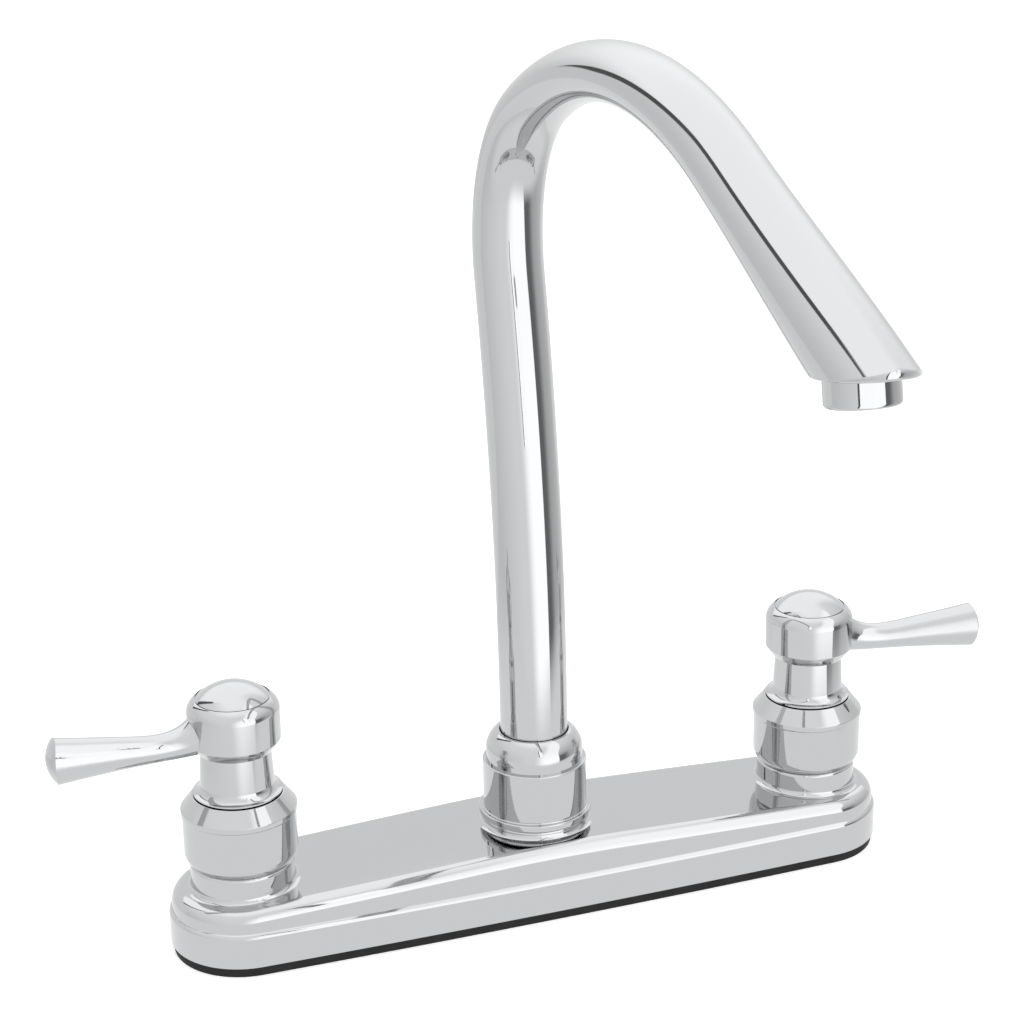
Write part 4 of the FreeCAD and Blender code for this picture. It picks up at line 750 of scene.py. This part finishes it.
# What the tent holds, each laid over those before it. A ramp is (measure, from, to, first tone, last tone).
# Each edge is (measure, whether the card lies past or before it, where it is, how soft it is).
tentCards = {
    "leftWall": {"ramp": ("azimuth", -110, -35, 0.87, 1.1), "edges": []},
    "rightWall": {"ramp": ("azimuth", 62, 120, 0.55, 0.86), "edges": [("azimuth", "past", 0, 2)]},
    "upperWalls": {"tone": 1.15, "edges": [("elevation", "past", 25, 60)]},
    "roof": {"tone": 1.45, "edges": [("elevation", "past", 64, 28)]},
    "lowPart": {"tone": 1.03, "edges": [("elevation", "before", -50, 16)]},
    "lightBehind": {"tone": 1.46, "edges": [("around", "past", 123.5, 23), ("fromSlot", "before", 0, 1),
                                            ("elevation", "past", 17, 34)]},
    "darkSlot": {"tone": 0.12, "edges": [("fromSlot", "past", -3.2, 1), ("fromSlot", "before", 3.2, 1),
                                         ("elevation", "past", 2, 3), ("elevation", "before", 54, 6)]},
    "blackFlag": {"tone": 0.2, "edges": [("leaned", "past", 40, 1), ("leaned", "before", 62, 22),
                                         ("elevation", "past", -50, 8), ("elevation", "before", 10, 12)]},
    "keyCard": {"ramp": ("elevation", 0, 30, 1.8, 1.62),
                "edges": [("leaned", "past", -8, 28), ("leaned", "before", 40, 2),
                          ("elevation", "past", -66, 16), ("elevation", "before", 66, 14)]},
}


def layCard(tree, ways, tone, card):
    # lay a card over the tone that the tent has so far; its mask is the product of its soft edges
    mask = 1.0
    for way, side, middle, softness in card["edges"]:
        first, last = (0.0, 1.0) if side == "past" else (1.0, 0.0)
        edge = addNode(tree, "ShaderNodeMapRange", {"interpolation_type": "SMOOTHSTEP"},
                       {"Value": ways[way], "From Min": middle - softness / 2,
                        "From Max": middle + softness / 2, "To Min": first, "To Max": last})
        terms = {0: mask, 1: edge.outputs["Result"]}
        mask = addNode(tree, "ShaderNodeMath", {"operation": "MULTIPLY"}, terms).outputs[0]
    if "ramp" in card:
        way, start, end, first, last = card["ramp"]
        ramp = addNode(tree, "ShaderNodeMapRange", inputs={"Value": ways[way], "From Min": start,
                                                           "From Max": end, "To Min": first, "To Max": last})
        cardTone = ramp.outputs["Result"]
    else:
        cardTone = card["tone"]
    mix = addNode(tree, "ShaderNodeMix", {"data_type": "FLOAT"}, {"Factor": mask, "A": tone, "B": cardTone})
    return mix.outputs["Result"]


def makeTent():
    # the tent's walls and cards as the world's light, with a plain white background for the camera
    world = bpy.data.worlds.new("lightTent")
    world.use_nodes = True
    bpy.context.scene.world = world
    tree = world.node_tree
    ways = splitAxes(tree, "Generated")
    workOut(tree, ways, directionSums)
    lean = addNode(tree, "ShaderNodeMapRange", {"interpolation_type": "SMOOTHSTEP"},
                   {"Value": ways["elevation"], "From Min": tent["leanFrom"], "From Max": tent["leanTo"],
                    "To Min": 0.0, "To Max": tent["lean"]})
    ways["lean"] = lean.outputs["Result"]
    workOut(tree, ways, cardSums)
    tone = 0.0
    for card in tentCards.values():
        tone = layCard(tree, ways, tone, card)
    seen = addNode(tree, "ShaderNodeLightPath").outputs["Is Camera Ray"]
    plain = addNode(tree, "ShaderNodeMix", {"data_type": "FLOAT"}, {"Factor": seen, "A": tone, "B": 1.0})
    background = tree.nodes["Background"]
    background.inputs["Color"].default_value = linearFromHex("#ffffff")
    tree.links.new(plain.outputs["Result"], background.inputs["Strength"])


# Camera fitted to the photograph's outlines, in degrees, millimetres and pixels.
cameraFit = {"azimuth": -19.674, "elevation": 19.628, "distance": 763.503, "focalPixels": 2360.57,
             "slideX": -6.057, "height": 135.615, "roll": -1.0054, "framePixels": 1024, "sensor": 36.0,
             "clipStart": 10}


def makeCamera():
    # the photograph's viewpoint, aimed beside the middle at a height and rolled about its own line of sight
    azimuth, elevation, roll = (math.radians(cameraFit[key]) for key in ("azimuth", "elevation", "roll"))
    right = Vector((math.cos(azimuth), math.sin(azimuth), 0))
    level = math.cos(elevation)
    back = Vector((math.sin(azimuth) * level, -math.cos(azimuth) * level, math.sin(elevation)))
    target = right * cameraFit["slideX"] + up * cameraFit["height"]
    above = right.cross(-back)
    rolledRight = right * math.cos(roll) + above * math.sin(roll)
    rolledUp = above * math.cos(roll) - right * math.sin(roll)
    data = bpy.data.cameras.new("photoCamera")
    data.sensor_width = cameraFit["sensor"]
    data.lens = cameraFit["focalPixels"] / cameraFit["framePixels"] * data.sensor_width
    data.clip_start = cameraFit["clipStart"] * mm
    camera = bpy.data.objects.new("photoCamera", data)
    axes = Matrix((rolledRight, rolledUp, back)).transposed().to_4x4()
    camera.matrix_world = Matrix.Translation((target + back * cameraFit["distance"]) * mm) @ axes
    bpy.context.scene.collection.objects.link(camera)
    bpy.context.scene.camera = camera


makeFloor()
makeBounce()
for cardName, card in nearCards.items():
    makeNearCard(cardName, card)
makeTent()
makeCamera()
bpy.context.scene.view_settings.view_transform = "Standard"
print("studio and camera made")
